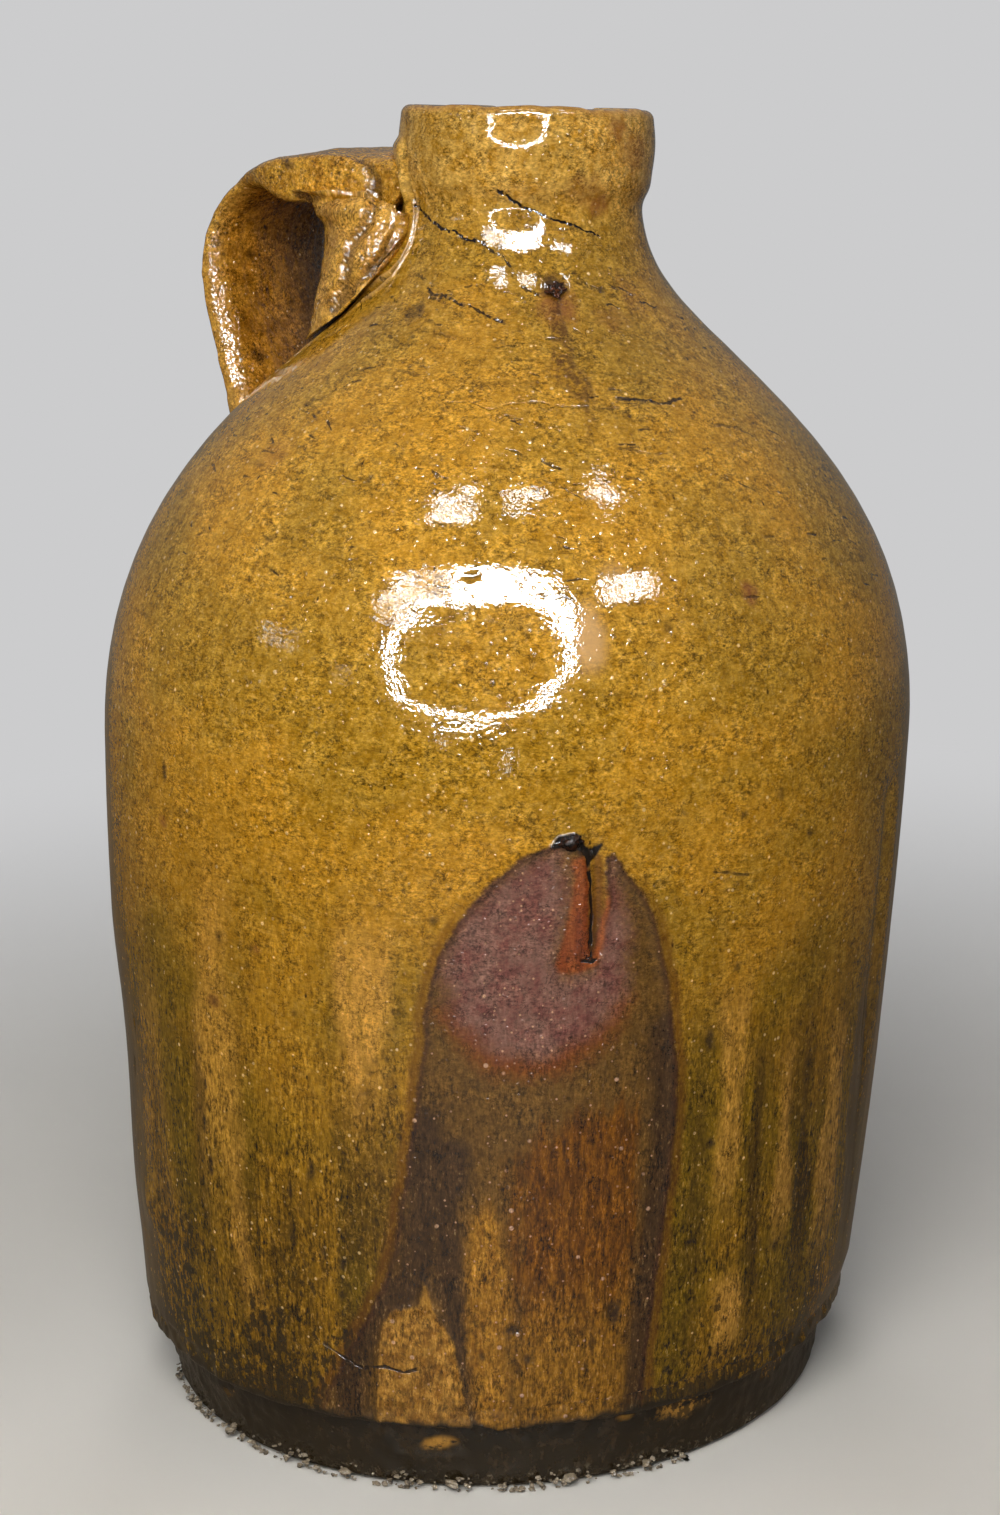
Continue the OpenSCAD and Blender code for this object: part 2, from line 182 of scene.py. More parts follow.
def added(name, data):
    """A new object in the scene."""
    made = bpy.data.objects.new(name, data)
    bpy.context.scene.collection.objects.link(made)
    return made


# Noise for the relief, the same on every machine
def chance(cell, seed):
    n = cell[..., 0] * 73856093 ^ cell[..., 1] * 19349663 ^ cell[..., 2] * 83492791 ^ (seed * 2654435 + 977)
    n = (n ^ (n >> 13)) * 1274126177 & 0x7FFFFFFF
    n = (n ^ (n >> 15)) * 668265263 & 0x7FFFFFFF
    return n / 0x7FFFFFFF


def noise(p, size, seed=0):
    """Smooth noise from -1 to 1 with lumps about size across."""
    q = p / size + seed * 7.31
    cell = np.floor(q).astype(np.int64)
    f = q - cell
    f = f * f * f * (f * (f * 6 - 15) + 10)
    total = 0
    for corner in np.ndindex(2, 2, 2):
        dx, dy, dz = corner
        share = abs(1 - dx - f[..., 0]) * abs(1 - dy - f[..., 1]) * abs(1 - dz - f[..., 2])
        total = total + share * chance(cell + np.array(corner), seed)
    return total * 2 - 1


def unroll(points):
    """Bearings and heights, laid out as mm round from the front and mm up, as all marks on the jug are."""
    points = np.array(points, float)
    return np.stack([np.radians(from_front(points[:, 0])) * UNROLL_R, points[:, 1]], -1)


def from_line(at, line):
    """For each point: its distance to a line, the share of the line's length where it is nearest, and the
    side of the line that it is on, 1 or -1."""
    best, where, side = np.full(len(at), 1e9), np.zeros(len(at)), np.ones(len(at))
    run = np.concatenate([[0], np.cumsum(np.linalg.norm(np.diff(line, axis=0), axis=1))])
    for a, b, s0, s1 in zip(line[:-1], line[1:], run[:-1], run[1:]):
        d = b - a
        t = np.clip(((at - a) @ d) / (d @ d), 0, 1)
        far = np.linalg.norm(at - a - t[:, None] * d, axis=1)
        near = far < best
        best[near] = far[near]
        where[near] = (lerp(s0, s1, t) / run[-1])[near]
        side[near] = np.where(d[0] * (at[:, 1] - a[1]) > d[1] * (at[:, 0] - a[0]), 1, -1)[near]
    return best, where, side


def from_shape(at, shape):
    """Distance to a closed outline, less than 0 inside it."""
    ring = np.vstack([shape, shape[:1]])
    far = from_line(at, ring)[0]
    inside = np.zeros(len(at), bool)
    for a, b in zip(ring[:-1], ring[1:]):
        crosses = (a[1] > at[:, 1]) != (b[1] > at[:, 1])
        with np.errstate(divide="ignore", invalid="ignore"):
            x = a[0] + (at[:, 1] - a[1]) / (b[1] - a[1]) * (b[0] - a[0])
        inside ^= crosses & (at[:, 0] < x)
    return np.where(inside, -far, far)


# The dark patch on the front, and the areas in it
PATCH = unroll([
    (-42.6, 146.2), (-45, 146), (-47.3, 145), (-50.3, 142.6), (-53.1, 138.6), (-55.4, 134.2),
    (-57.6, 129), (-59.5, 123.4), (-60.8, 117), (-61.5, 110), (-62, 102), (-62.8, 91), (-63.7, 80),
    (-64.8, 69), (-66, 57.7), (-67.6, 50), (-69.6, 43), (-72, 36), (-75, 28), (-78, 20), (-79, 10),
    (-29, 10), (-29.4, 34), (-29, 48), (-28.2, 61.6), (-27.6, 74.8), (-27.4, 85.8), (-27.8, 96.7),
    (-28.9, 107.7), (-29.9, 116.3), (-31, 123.8), (-32.5, 130.3), (-34.2, 135.6), (-36.2, 140),
    (-37.6, 142.9), (-38.6, 143.7), (-39.5, 142.6), (-39.4, 138.3), (-38.9, 135.3), (-39.5, 129.4),
    (-40.5, 123.4), (-41.1, 134), (-41.5, 140)])
MAUVE = unroll([
    (-45.4, 145.3), (-52, 139), (-57, 131), (-59.3, 119), (-57.4, 108), (-51.5, 102), (-46, 101),
    (-40, 104.9), (-36.5, 113), (-35.6, 124), (-36.8, 134), (-38.4, 143), (-39.4, 140), (-39.6, 127),
    (-40.5, 119), (-44, 118), (-45.6, 122), (-43.6, 134)])
RED = unroll([
    (-60, 110), (-57, 104), (-53, 98.6), (-48.5, 96), (-43, 97.5), (-38, 103), (-35.5, 113), (-37.5, 112),
    (-41, 106), (-46, 102), (-52, 104), (-57, 110)])
AMBER = unroll([
    (-49.5, 79), (-42, 88), (-36, 91), (-32.8, 88), (-32.3, 69), (-32, 46), (-31.6, 27), (-31, 8),
    (-49, 8), (-49.2, 30), (-49.8, 45), (-50, 62)])
OVAL = unroll([
    (-53.4, 70), (-51.6, 65.6), (-50.6, 58), (-50.3, 49), (-50.2, 38), (-49, 8), (-53.6, 8), (-55, 25),
    (-56, 42), (-56.2, 56.9), (-55.2, 65)])
DOME = unroll([
    (-61.7, 51), (-62.2, 45.4), (-64, 44.4), (-66.4, 43.6), (-67.9, 39.6), (-68.7, 30), (-69.4, 15),
    (-69.4, 8), (-54.8, 8), (-55.2, 17), (-56.1, 27), (-57.9, 38), (-60, 43.6)])
ORANGE = unroll([
    (-43.7, 142.7), (-43.2, 138.3), (-43.5, 132.4), (-44.2, 126.4), (-45.3, 120.8), (-44.8, 119),
    (-41.9, 118.8), (-39.6, 120.6), (-38.9, 126), (-38.5, 134), (-39, 136.3), (-39.4, 130), (-39.7, 125),
    (-40.5, 122.4), (-41, 134.3), (-41.3, 140.3), (-42.1, 143)])
AMBER_GAP = unroll([
    (-40.9, 144.3), (-39.6, 142.8), (-39.4, 138.3), (-39, 135.3), (-39.5, 129.4), (-39.9, 125),
    (-40.5, 123.2), (-40.9, 134.3)])
BURNT = unroll([
    (-46.6, 144.8), (-45.5, 147.2), (-43, 147.9), (-42, 145.4), (-41.2, 144.5), (-39.6, 145.9),
    (-39.9, 144.5), (-40.6, 142.7), (-41.5, 141.6), (-42.2, 143.9), (-43.9, 145.3), (-45.3, 144.7)])
# The slit in the patch, and the dark strip and legs at its sides
SLIT = unroll([(-41.6, 145), (-41.4, 141), (-41.1, 136), (-40.9, 130), (-40.6, 121.6)])
STRIP = unroll([(-30.2, 106), (-29.4, 90), (-29.6, 68), (-30.4, 46), (-30.9, 20)])
LEG = unroll([
    (-61.6, 86), (-61.4, 78), (-61.6, 69), (-62.4, 56), (-63.6, 50), (-70.2, 41), (-73, 30), (-74, 12)])
LEG_IN = unroll([(-58, 80), (-58.8, 64), (-58.4, 50), (-55.8, 38), (-54.2, 24), (-53.4, 12)])
# Tan runs of the lower glaze, each as its half width in mm, its strength and its line
TANS = [
    (4.8, 1, [(-69, 131), (-69.6, 122), (-70.4, 100), (-71, 78)]),
    (6, 0.6, [(-92.6, 142), (-94, 116), (-95.1, 82), (-95, 46)]),
    (3.4, 0.8, [(-19.8, 118), (-18.8, 98.9), (-18.6, 74), (-18, 56)]),
    (4, 0.9, [(-17.3, 50), (-16.2, 39.4), (-16.4, 26)]),
    (6.5, 0.4, [(-110, 112), (-112, 62), (-112, 26)]),
    (2.6, 0.9, [(-8.8, 100), (-8.3, 77.7), (-7.7, 66.1), (-7.5, 46)]),
    (3, 0.8, [(2, 104), (3, 72.8), (4.9, 55.6), (2.4, 36)]),
    (3.4, 0.6, [(-91.7, 84), (-91.1, 51.5), (-87.8, 30)]),
    (5.6, 0.5, [(24, 118), (26, 52)]),
    (4.6, 0.45, [(52, 124), (51, 70)]),
    (6.5, 0.5, [(84, 112), (86, 46)]),
    (4.6, 0.45, [(118, 128), (116, 74)]),
    (5.6, 0.45, [(150, 104), (152, 50)]),
    (6.5, 0.45, [(176, 120), (178, 40)]),
    (4.6, 0.45, [(203, 112), (201, 60)])]
# Dark runs between them, in the same form
DUSKS = [
    (2.4, 0.9, [(-14.2, 104), (-13.9, 75), (-12.3, 54), (-11, 22)]),
    (1.9, 0.9, [(-4.2, 104), (-3.9, 78), (-2.4, 64), (-1, 24)]),
    (2.6, 0.8, [(11.5, 112), (13, 70), (16, 49), (13, 26)]),
    (1.8, 0.6, [(-98.7, 102), (-98.5, 57), (-95.4, 22)]),
    (2.4, 0.5, [(-110.8, 92), (-110.6, 60), (-108, 20)]),
    (2, 0.5, [(-24, 104), (-23.2, 56), (-22.2, 22)]),
    (2.6, 0.6, [(38, 112), (40, 40)]),
    (2, 0.6, [(66, 108), (68, 30)]),
    (2.6, 0.6, [(101, 106), (99, 24)]),
    (2.2, 0.6, [(134, 112), (136, 40)]),
    (2.6, 0.6, [(164, 102), (162, 28)]),
    (2.2, 0.6, [(190, 114), (192, 36)]),
    (2.6, 0.6, [(218, 104), (216, 26)])]
# Thin cracks, each as its strength, its half width in mm at the start and at the end, and its line
INK = [
    (1, 0.4, 0.4, [(-118.9, 263.7), (-108.2, 261.8), (-97.7, 260), (-87.4, 258.9), (-79, 257.9),
     (-72, 256.8)]),
    (0.9, 0.55, 0.35, [(-72, 256.8), (-66.7, 255.5), (-61.2, 254.2), (-56.9, 252.9)]),
    (1, 0.5, 0.28, [(-65.4, 267.2), (-59.6, 266.1), (-52.9, 264.5), (-46, 263.4), (-39.1, 262),
     (-30.6, 260.9), (-22.4, 259.7), (-14.9, 258.5)]),
    (0.9, 0.34, 0.34, [(-90.8, 247.3), (-86.7, 246.5), (-80, 245.7), (-73.8, 244.9), (-68.2, 244),
     (-57.8, 241.6)]),
    (0.8, 0.4, 0.3, [(-53, 248.6), (-46, 247.2)]),
    (0.4, 0.26, 0.26, [(-70, 225.9), (-64, 226.7), (-57.5, 225.9), (-51.5, 226.9), (-43, 226.7),
     (-34.8, 226.1), (-20, 227)]),
    (0.9, 0.4, 0.3, [(-30.8, 228.2), (-22, 227), (-14, 227.4)]),
    (0.8, 0.35, 0.3, [(-67, 214.4), (-63.5, 212.7)]),
    (0.6, 0.3, 0.25, [(-55, 218.8), (-51, 217.2)]),
    (0.8, 0.4, 0.35, [(-48.3, 216.8), (-44.4, 215.2)]),
    (0.5, 0.35, 0.3, [(-34, 219), (-24, 217.6)]),
    (0.6, 0.4, 0.3, [(-10, 222), (-3, 221.5)]),
    (0.5, 0.35, 0.3, [(-84, 232), (-76, 231)]),
    (0.9, 0.45, 0.4, [(-71, 28.6), (-67.6, 30.4), (-64.8, 29.6), (-62.6, 30.8)]),
    (0.7, 0.5, 0.4, [(-77.5, 33), (-74, 30.4), (-71, 28.6)]),
    (0.7, 0.4, 0.35, [(-24.4, 138.4), (-18.6, 136.6)]),
    (1, 1.3, 0.5, [(-41.9, 145.6), (-41.4, 140.5)]),
    (1, 0.5, 0.45, [(-41.4, 140.5), (-41.1, 136), (-40.9, 130), (-40.7, 121.4)]),
    (1, 0.5, 0.5, [(-42.1, 121.4), (-40.6, 121.2), (-39.6, 122)]),
    (0.9, 0.4, 0.3, [(134, 250), (145, 247), (156, 246.4)]),
    (0.7, 0.4, 0.3, [(60, 228), (74, 226.6), (82, 227)])]
# Dark spots, each as its bearing, height, half width round, half width up and strength
SPOTS = [
    (-34.8, 44, 1.7, 2.7, 0.9), (-49.3, 40.9, 1.6, 0.8, 0.95), (-53.4, 34.4, 0.8, 1, 0.8),
    (-24.1, 56.8, 0.9, 1, 0.9), (-46.9, 34.3, 0.9, 1.2, 0.7), (-23, 102.1, 0.9, 2.4, 0.85),
    (-19.8, 116.8, 1.1, 0.7, 0.6), (-7.4, 50.9, 0.9, 1.6, 0.85), (-21.8, 78.8, 0.9, 1.3, 0.85),
    (-96.9, 83.9, 0.5, 1.5, 0.9), (-97.3, 75, 0.6, 1.8, 0.9), (-96.5, 66.4, 0.8, 2.4, 0.95),
    (-77.9, 72, 0.7, 2.4, 0.9), (-92.5, 118.3, 0.9, 0.9, 0.6), (-93.8, 104, 0.9, 1.5, 0.5),
    (-86.8, 118, 0.8, 0.9, 0.6), (-80, 106, 0.9, 0.6, 0.6), (-65.3, 109.1, 1.2, 0.6, 0.6),
    (-69.5, 92, 1, 0.7, 0.6), (-64.7, 82.4, 0.7, 0.7, 0.8), (-68.7, 96.5, 0.6, 0.6, 0.7),
    (-81.2, 66.8, 0.5, 1.8, 0.9), (-81.2, 56, 0.8, 3.6, 0.6), (-73.2, 52.5, 0.8, 1.7, 0.85),
    (-74, 45, 0.6, 1.4, 0.9), (-76.4, 54, 0.6, 1.1, 0.85), (-87.8, 32.6, 0.8, 2.4, 0.7),
    (-20.4, 149, 0.9, 0.8, 0.75), (-8.4, 142.8, 0.8, 0.8, 0.7), (-77.4, 212, 0.8, 0.8, 0.6),
    (-58.1, 196.3, 1.5, 0.7, 0.7), (-91.2, 199.4, 1, 0.8, 0.7), (-60.5, 129.4, 1.1, 1.1, 0.75),
    (-104, 150, 0.8, 2, 0.8), (-90, 243, 2, 1.6, 0.65), (-31, 187, 0.8, 1.4, 0.5),
    (-14, 152, 0.8, 1.4, 0.6), (-118.6, 88, 0.8, 2.2, 0.8), (-122, 76, 0.7, 2.6, 0.8),
    (30, 96, 1, 2.2, 0.8), (-40.6, 248.6, 2.8, 2.2, 0.85), (72, 132, 1.2, 1, 0.7),
    (110, 64, 0.8, 2.6, 0.85), (160, 150, 1, 1.2, 0.7), (-160, 110, 0.9, 2, 0.8)]
# Smudges, in the same form and then 0 for a reddish one or 1 for a peach one
SMUDGES = [
    (-40, 246, 4, 4, 0.7, 0), (-14, 265, 2.6, 2.2, 0.7, 0), (-24, 268, 5, 3, 0.35, 0),
    (-17, 192, 1.6, 2, 0.8, 0), (-21.5, 242.6, 5, 2.4, 0.3, 0), (-9, 247, 3, 4, 0.3, 0),
    (-93.8, 104, 1.6, 1.8, 0.5, 0), (-104, 139, 1.4, 1.4, 0.6, 0), (-41.8, 184.8, 3.4, 6, 0.95, 1),
    (-38, 196, 3, 3, 0.4, 1), (-8, 281, 3, 2.5, 0.7, 0), (4, 276, 5, 4, 0.5, 0),
    (-86, 118, 1.4, 1.2, 0.4, 0), (-100, 214, 4, 3, 0.3, 0), (64, 210, 5, 4, 0.4, 0),
    (140, 190, 4, 5, 0.4, 1), (-150, 160, 4, 4, 0.35, 0)]
# Honey patches on the foot, each as its bearing, height, half width round and half width up
YELLOWS = [
    (-60.6, 11.2, 3, 1.4), (-20.3, 13.4, 7, 2.6), (0.7, 14.4, 4.6, 3), (-31, 15.4, 2, 0.9),
    (-101, 12, 2.4, 1.2), (48, 12.6, 5, 2.2), (96, 9, 3.4, 1.6), (140, 13, 4.4, 2), (-164, 11, 3, 1.8)]
# The run below the crust on the neck, and the seam beside the handle's root
RUN = unroll([
    (-40.8, 246), (-42.4, 241.5), (-39.7, 238.6), (-40.2, 235.5), (-42.2, 233), (-38.4, 230.5),
    (-38.4, 223.5)])
SEAM = unroll([
    (-119, 273), (-118.4, 267), (-116.6, 261), (-114.8, 256), (-116, 251), (-121, 247), (-128, 243),
    (-134, 235), (-141, 223)])


def jug_rings():
    """The rings of the jug's skin from the middle of the base to the middle of the floor, in mm: their points
    upright, their points as they stand, and their zones."""
    az = np.arange(COLS) * 360 / COLS
    rows = []

    def add_rings(profile, zone):
        for r, h in profile:
            p = around(az, h, r)
            rows.append((p, stand(sway(p)) if zone > FOOT else p, zone))

    add_rings([(r, 0) for r in np.linspace(8, FOOT_R - FOOT_EDGE_R - 1, 16)], BASE)
    foot = np.vstack([arc([FOOT_R - FOOT_EDGE_R, FOOT_EDGE_R], FOOT_EDGE_R, -90, 0, 8), [[BAND_R, FOOT_H]],
                      arc([WALL_R + 0.1 - HEEL_R, HEEL_H], HEEL_R, -90, 0, 8), [[WALL_R + 0.25, 22]]])
    add_rings(spaced(foot, STEP), FOOT)
    low = rows[-1][0]
    side = spaced(SIDE[SIDE[:, 1] > 31], STEP)
    # The collar bulges a little, so that a lamp shows in it as a ring
    side[:, 0] -= 0.8 * (1 - np.exp(-((side[:, 1] - 277) ** 2) * 0.028)) * smooth((side[:, 1] - 257) / 11)
    # Between the upright foot and the leaning side, the rings lean more and more
    first = sway(around(az, side[0, 1], side[0, 0]))
    for t in np.linspace(0, 1, 18)[1:-1]:
        leaned = lerp(low, stand(first), t)
        rows.append(((leaned - PIVOT) @ TILT + PIVOT, leaned, BODY))
    add_rings(side, BODY)
    flat_lip = np.array([[COLLAR_R - RIM_R - 0.8, HEIGHT], [MOUTH_R + RIM_IN_R, HEIGHT]])
    add_rings(np.vstack([spaced(flat_lip, 0.8)[1:], RIM_IN[1:]]), LIP)
    add_rings(spaced(HOLLOW, 3)[1:], INSIDE)
    return [np.array(column) for column in zip(*rows)]


def ring_normals(grid):
    """The outward normals of a grid of rings."""
    up = np.gradient(grid, axis=0)
    along = np.roll(grid, -1, 1) - np.roll(grid, 1, 1)
    n = np.cross(along, up)
    n *= np.sign((n * (grid - grid.mean((0, 1)))).sum())
    return n / np.maximum(np.linalg.norm(n, axis=-1, keepdims=True), 1e-9)


MAP_NAME, MAP_EDGE, MAP_CAP = "OFBake", 0.004, 0.02  # The map's name, and its margins at the sides and ends


def grid_map(grid):
    """The skin's picture map, laid out like its grid: round the rings across, from ring to ring upward."""
    rows, cols = grid.shape[:2]
    run = np.concatenate([[0], np.cumsum(np.linalg.norm(np.diff(grid, axis=0), axis=-1).mean(1))])
    v = lerp(MAP_CAP, 1 - MAP_CAP, run / run[-1])
    u = lerp(MAP_EDGE, 1 - MAP_EDGE, np.arange(cols + 1) / cols)
    quads = np.empty((rows - 1, cols, 4, 2))
    quads[..., 0] = np.stack([u[:-1], u[1:], u[1:], u[:-1]], -1)
    quads[..., 1] = np.stack([v[:-1], v[:-1], v[1:], v[1:]], -1)[:, None]
    first, last = np.empty((cols, 3, 2)), np.empty((cols, 3, 2))
    middle = (u[:-1] + u[1:]) / 2
    first[..., 0] = np.stack([middle, u[1:], u[:-1]], -1)
    first[..., 1] = MAP_EDGE, v[0], v[0]
    last[..., 0] = np.stack([u[:-1], u[1:], middle], -1)
    last[..., 1] = v[-1], v[-1], 1 - MAP_EDGE
    return np.vstack([quads.reshape(-1, 2), first.reshape(-1, 2), last.reshape(-1, 2)])


def skin(name, grid, masks, vectors):
    """A closed smooth skin over a grid of rings in mm, with a point in the middle of its first and last ring.
    The masks and vectors are kept on its points for the materials."""
    rows, cols = grid.shape[:2]
    turn = np.cross(grid[:, 1:] - grid[:, :-1], np.roll(grid, -1, 0)[:, :-1] - grid[:, :-1])[:-1]
    if (turn * (grid[:-1, :-1] - grid.mean((0, 1)))).sum() < 0:
        grid = grid[:, ::-1]
        masks = {key: value.reshape(rows, cols)[:, ::-1] for key, value in masks.items()}
        vectors = {key: value[:, ::-1] for key, value in vectors.items()}
    verts = np.vstack([grid.reshape(-1, 3), grid[0].mean(0)[None], grid[-1].mean(0)[None]]) / 1000
    j = np.arange(cols)
    k = (j + 1) % cols
    i = (np.arange(rows - 1) * cols)[:, None]
    quads = np.stack([i + j, i + k, i + cols + k, i + cols + j], -1).reshape(-1, 4)
    last = (rows - 1) * cols
    first_mid, last_mid = np.full(cols, rows * cols), np.full(cols, rows * cols + 1)
    tris = np.vstack([np.stack([first_mid, k, j], -1), np.stack([last + j, last + k, last_mid], -1)])
    mesh = bpy.data.meshes.new(name)
    mesh.vertices.add(len(verts))
    mesh.vertices.foreach_set("co", verts.astype(np.float32).ravel())
    corners = np.concatenate([quads.ravel(), tris.ravel()]).astype(np.int32)
    counts = np.concatenate([np.full(len(quads), 4), np.full(len(tris), 3)])
    mesh.loops.add(len(corners))
    mesh.loops.foreach_set("vertex_index", corners)
    mesh.polygons.add(len(counts))
    mesh.polygons.foreach_set("loop_start", np.concatenate([[0], np.cumsum(counts)[:-1]]).astype(np.int32))
    mesh.polygons.foreach_set("use_smooth", np.ones(len(counts), bool))
    mesh.update(calc_edges=True)
    mesh.uv_layers.new(name=MAP_NAME).uv.foreach_set("vector", grid_map(grid).astype(np.float32).ravel())
    for key, values in masks.items():
        flat = values.reshape(-1)
        flat = np.concatenate([flat, [flat[:cols].mean(), flat[-cols:].mean()]]).astype(np.float32)
        mesh.attributes.new(key, "FLOAT", "POINT").data.foreach_set("value", flat)
    for key, values in vectors.items():
        flat = values.reshape(-1, 3)
        flat = np.vstack([flat, flat[:cols].mean(0)[None], flat[-cols:].mean(0)[None]]).astype(np.float32)
        mesh.attributes.new(key, "FLOAT_VECTOR", "POINT").data.foreach_set("vector", flat.ravel())
    return added(name, mesh)


class Pot:
    """The points of the jug's skin, with what is measured on them."""

    def __init__(self):
        self.upright, self.placed, zone = jug_rings()
        self.rows = len(zone)
        x, y, self.h = np.moveaxis(self.upright, -1, 0)
        self.az = np.degrees(np.arctan2(y, x))
        self.radius = np.hypot(x, y)
        self.zone = np.repeat(zone[:, None], COLS, 1)
        self.outside = ((self.zone == FOOT) | (self.zone == BODY)).reshape(-1)
        self.flat = np.stack([np.radians(from_front(self.az)) * UNROLL_R, self.h], -1).reshape(-1, 2)
        self.flow = around(self.az, self.h, FLOW_R)
        self.points = self.flow.reshape(-1, 3)
        large, small = (np.stack([noise(self.flow, size, seed), noise(self.flow, size, seed + 1)], -1)
                        for size, seed in ((6, 41), (1.8, 43)))
        self.wander = large.reshape(-1, 2) * 0.9 + small.reshape(-1, 2) * 0.35

    def blank(self, value=0.0):
        return np.full(self.rows * COLS, float(value))

    def near(self, line, reach):
        """The points of the outside near a line, and what from_line says of them."""
        lo, hi = line.min(0) - reach, line.max(0) + reach
        k = np.flatnonzero(self.outside & np.all((self.flat > lo) & (self.flat < hi), axis=1))
        return (k, *from_line(self.flat[k], line))


def outline_masks(pot):
    """How far each point is from the outlines of the dark patch and of what is in it."""
    front = np.flatnonzero(pot.outside & (np.abs(pot.flat[:, 0] + 2) < 56) & (pot.flat[:, 1] < 156))
    masks = {}
    for key, shape, wavy in (("patch", PATCH, 0.5), ("mauve", MAUVE, 1), ("red", RED, 1), ("amber", AMBER, 1),
                             ("oval", OVAL, 1), ("dome", DOME, 0.6), ("orange", ORANGE, 0.25),
                             ("amber_gap", AMBER_GAP, 0.2), ("burnt", BURNT, 0.35)):
        masks[key] = pot.blank(30)
        masks[key][front] = from_shape(pot.flat[front] + pot.wander[front] * wavy, shape)
    return masks


def streak_masks(pot):
    """The dark legs of the patch, the tan and the dark runs, and the run below the crust on the neck."""
    masks = {key: pot.blank() for key in ("dark", "tan", "dusk", "run")}
    for line, width in ((STRIP, 4.6), (LEG, 6), (LEG_IN, 4.5)):
        k, far, _, _ = pot.near(line, width * 2.2)
        dark = np.exp(-((far + pot.wander[k, 0]) / width) ** 2 * 1.4)
        masks["dark"][k] = np.maximum(masks["dark"][k], dark)
    for key, table, strays in (("tan", TANS, 3), ("dusk", DUSKS, 2)):
        for width, strength, line in table:
            k, far, where, _ = pot.near(unroll(line), width * 2.4)
            taper = smooth(where * 3.5 + 0.1) * smooth((1 - where) * 2.4 + 0.05)
            stray = pot.wander[k, 1] + strays * noise(pot.points[k] * np.array([1, 1, 0.5]), 16, 17)
            streak = strength * taper * smooth(1.5 - (far + stray) / width)
            masks[key][k] = np.maximum(masks[key][k], streak)
    k, far, where, _ = pot.near(RUN, 9)
    masks["run"][k] = (1 - 0.3 * where) * smooth(1.5 - (far + pot.wander[k, 0] * 3) / lerp(2.6, 3.2, where))
    return masks


def scattered_dashes():
    """Short dark dashes round the shoulder, as rows of INK."""
    dice = np.random.default_rng(5)
    dashes = []
    for _ in range(300):
        a, up, span = dice.uniform(-176, 176) + FRONT, dice.uniform(186, 250), dice.uniform(1.2, 5)
        step = np.degrees(span / shell_r(up))
        drop = span * dice.uniform(-0.5, 0.15)
        if abs(from_front(a + step)) < 174:
            dashes.append((dice.uniform(0.4, 0.9), dice.uniform(0.2, 0.34), 0.2,
                           [(a, up), (a + step / 2, up + drop * 0.4), (a + step, up + drop)]))
    return dashes


def ink_masks(pot):
    """The thin cracks: how far across the nearest one a point lies, in its half widths, and its strength."""
    across, ink = pot.blank(9), pot.blank()
    for strength, start_w, end_w, points in INK + scattered_dashes():
        line = unroll(points)
        k, far, where, side = pot.near(line, 3)
        length = np.linalg.norm(np.diff(line, axis=0), axis=1).sum()
        ends = np.minimum(where, 1 - where) * length
        thin = lerp(start_w, end_w, where) * (0.8 + 0.55 * noise(pot.points[k], 1.3, 5))
        value = (far * side + pot.wander[k, 1] * 0.5) / thin
        broken = smooth(0.5 + strength * 0.9 + 1.4 * noise(pot.points[k], 1.9, 15))
        on = strength * broken * smooth(ends / 0.7) * smooth((3 - far) / 1.5)
        take = np.abs(value) < np.abs(across[k])
        across[k[take]], ink[k[take]] = value[take], on[take]
    return {"ink_across": np.clip(across, -9, 9), "ink": ink}


def spot_masks(pot):
    """Round marks: dark spots, reddish and peach smudges, and honey patches on the foot."""
    masks = {key: pot.blank() for key in ("spot", "red_smudge", "peach", "yellow")}
    marks = [(*m, "spot", 0.8) for m in SPOTS]
    marks += [(*m[:5], ("red_smudge", "peach")[m[5]], 1) for m in SMUDGES]
    marks += [(*m, 1, "yellow", 1.2) for m in YELLOWS]
    for a, up, wide, tall, strength, key, soft in marks:
        aside = unroll([(a, up)])[0, 0]
        shrink = float(np.clip(shell_r(max(up, 20)) / UNROLL_R, 0.3, 1))
        k = np.flatnonzero(pot.outside & (np.abs(pot.flat[:, 0] - aside) < 3 * wide / shrink)
                           & (np.abs(pot.flat[:, 1] - up) < 3 * tall))
        far = np.hypot(((pot.flat[k, 0] - aside) * shrink + pot.wander[k, 0] * soft) / wide,
                       (pot.flat[k, 1] - up + pot.wander[k, 1] * soft) / tall)
        masks[key][k] = np.maximum(masks[key][k], strength * smooth(1.5 - far))
    return masks


def seam_masks(pot):
    """The bead and the groove along the near side of the handle's root: the bead is painted pale as a
    highlight, and the groove dark as shade.
    """
    masks = {key: pot.blank() for key in ("seam", "seam_groove_shade")}
    k, far, where, _ = pot.near(SEAM, 5)
    faint = smooth(where * 5) * (0.25 + 0.75 * smooth((0.62 - where) / 0.2)) * smooth((1 - where) / 0.25)
    masks["seam"][k] = faint * smooth(1.5 - np.abs(far - 1.9 + pot.wander[k, 0] * 0.5) / 0.7)
    masks["seam_groove_shade"][k] = faint * smooth(1.5 - np.abs(far - 0.6) / 0.7)
    return masks


def zone_masks(pot):
    """The foot, the lower glaze that ran, the inside, the base and the worn rim."""
    foot = 19.4 - pot.placed[..., 2] + 1.6 * noise(pot.flow, 9, 8) + 0.8 * noise(pot.flow, 2.5, 9)
    rim = smooth(1 - np.abs(pot.radius - COLLAR_R + 1.5) / 2.2) * smooth((pot.h - HEIGHT + 2.2) / 1.6)
    return {"foot": smooth(foot / 2.2).reshape(-1) * pot.outside, "rim": rim.reshape(-1),
            "low": smooth((168 - pot.h + 16 * noise(pot.flow, 40, 12)) / 112).reshape(-1),
            "inside": (pot.zone == INSIDE).astype(float).reshape(-1),
            "base": (pot.zone == BASE).astype(float).reshape(-1)}


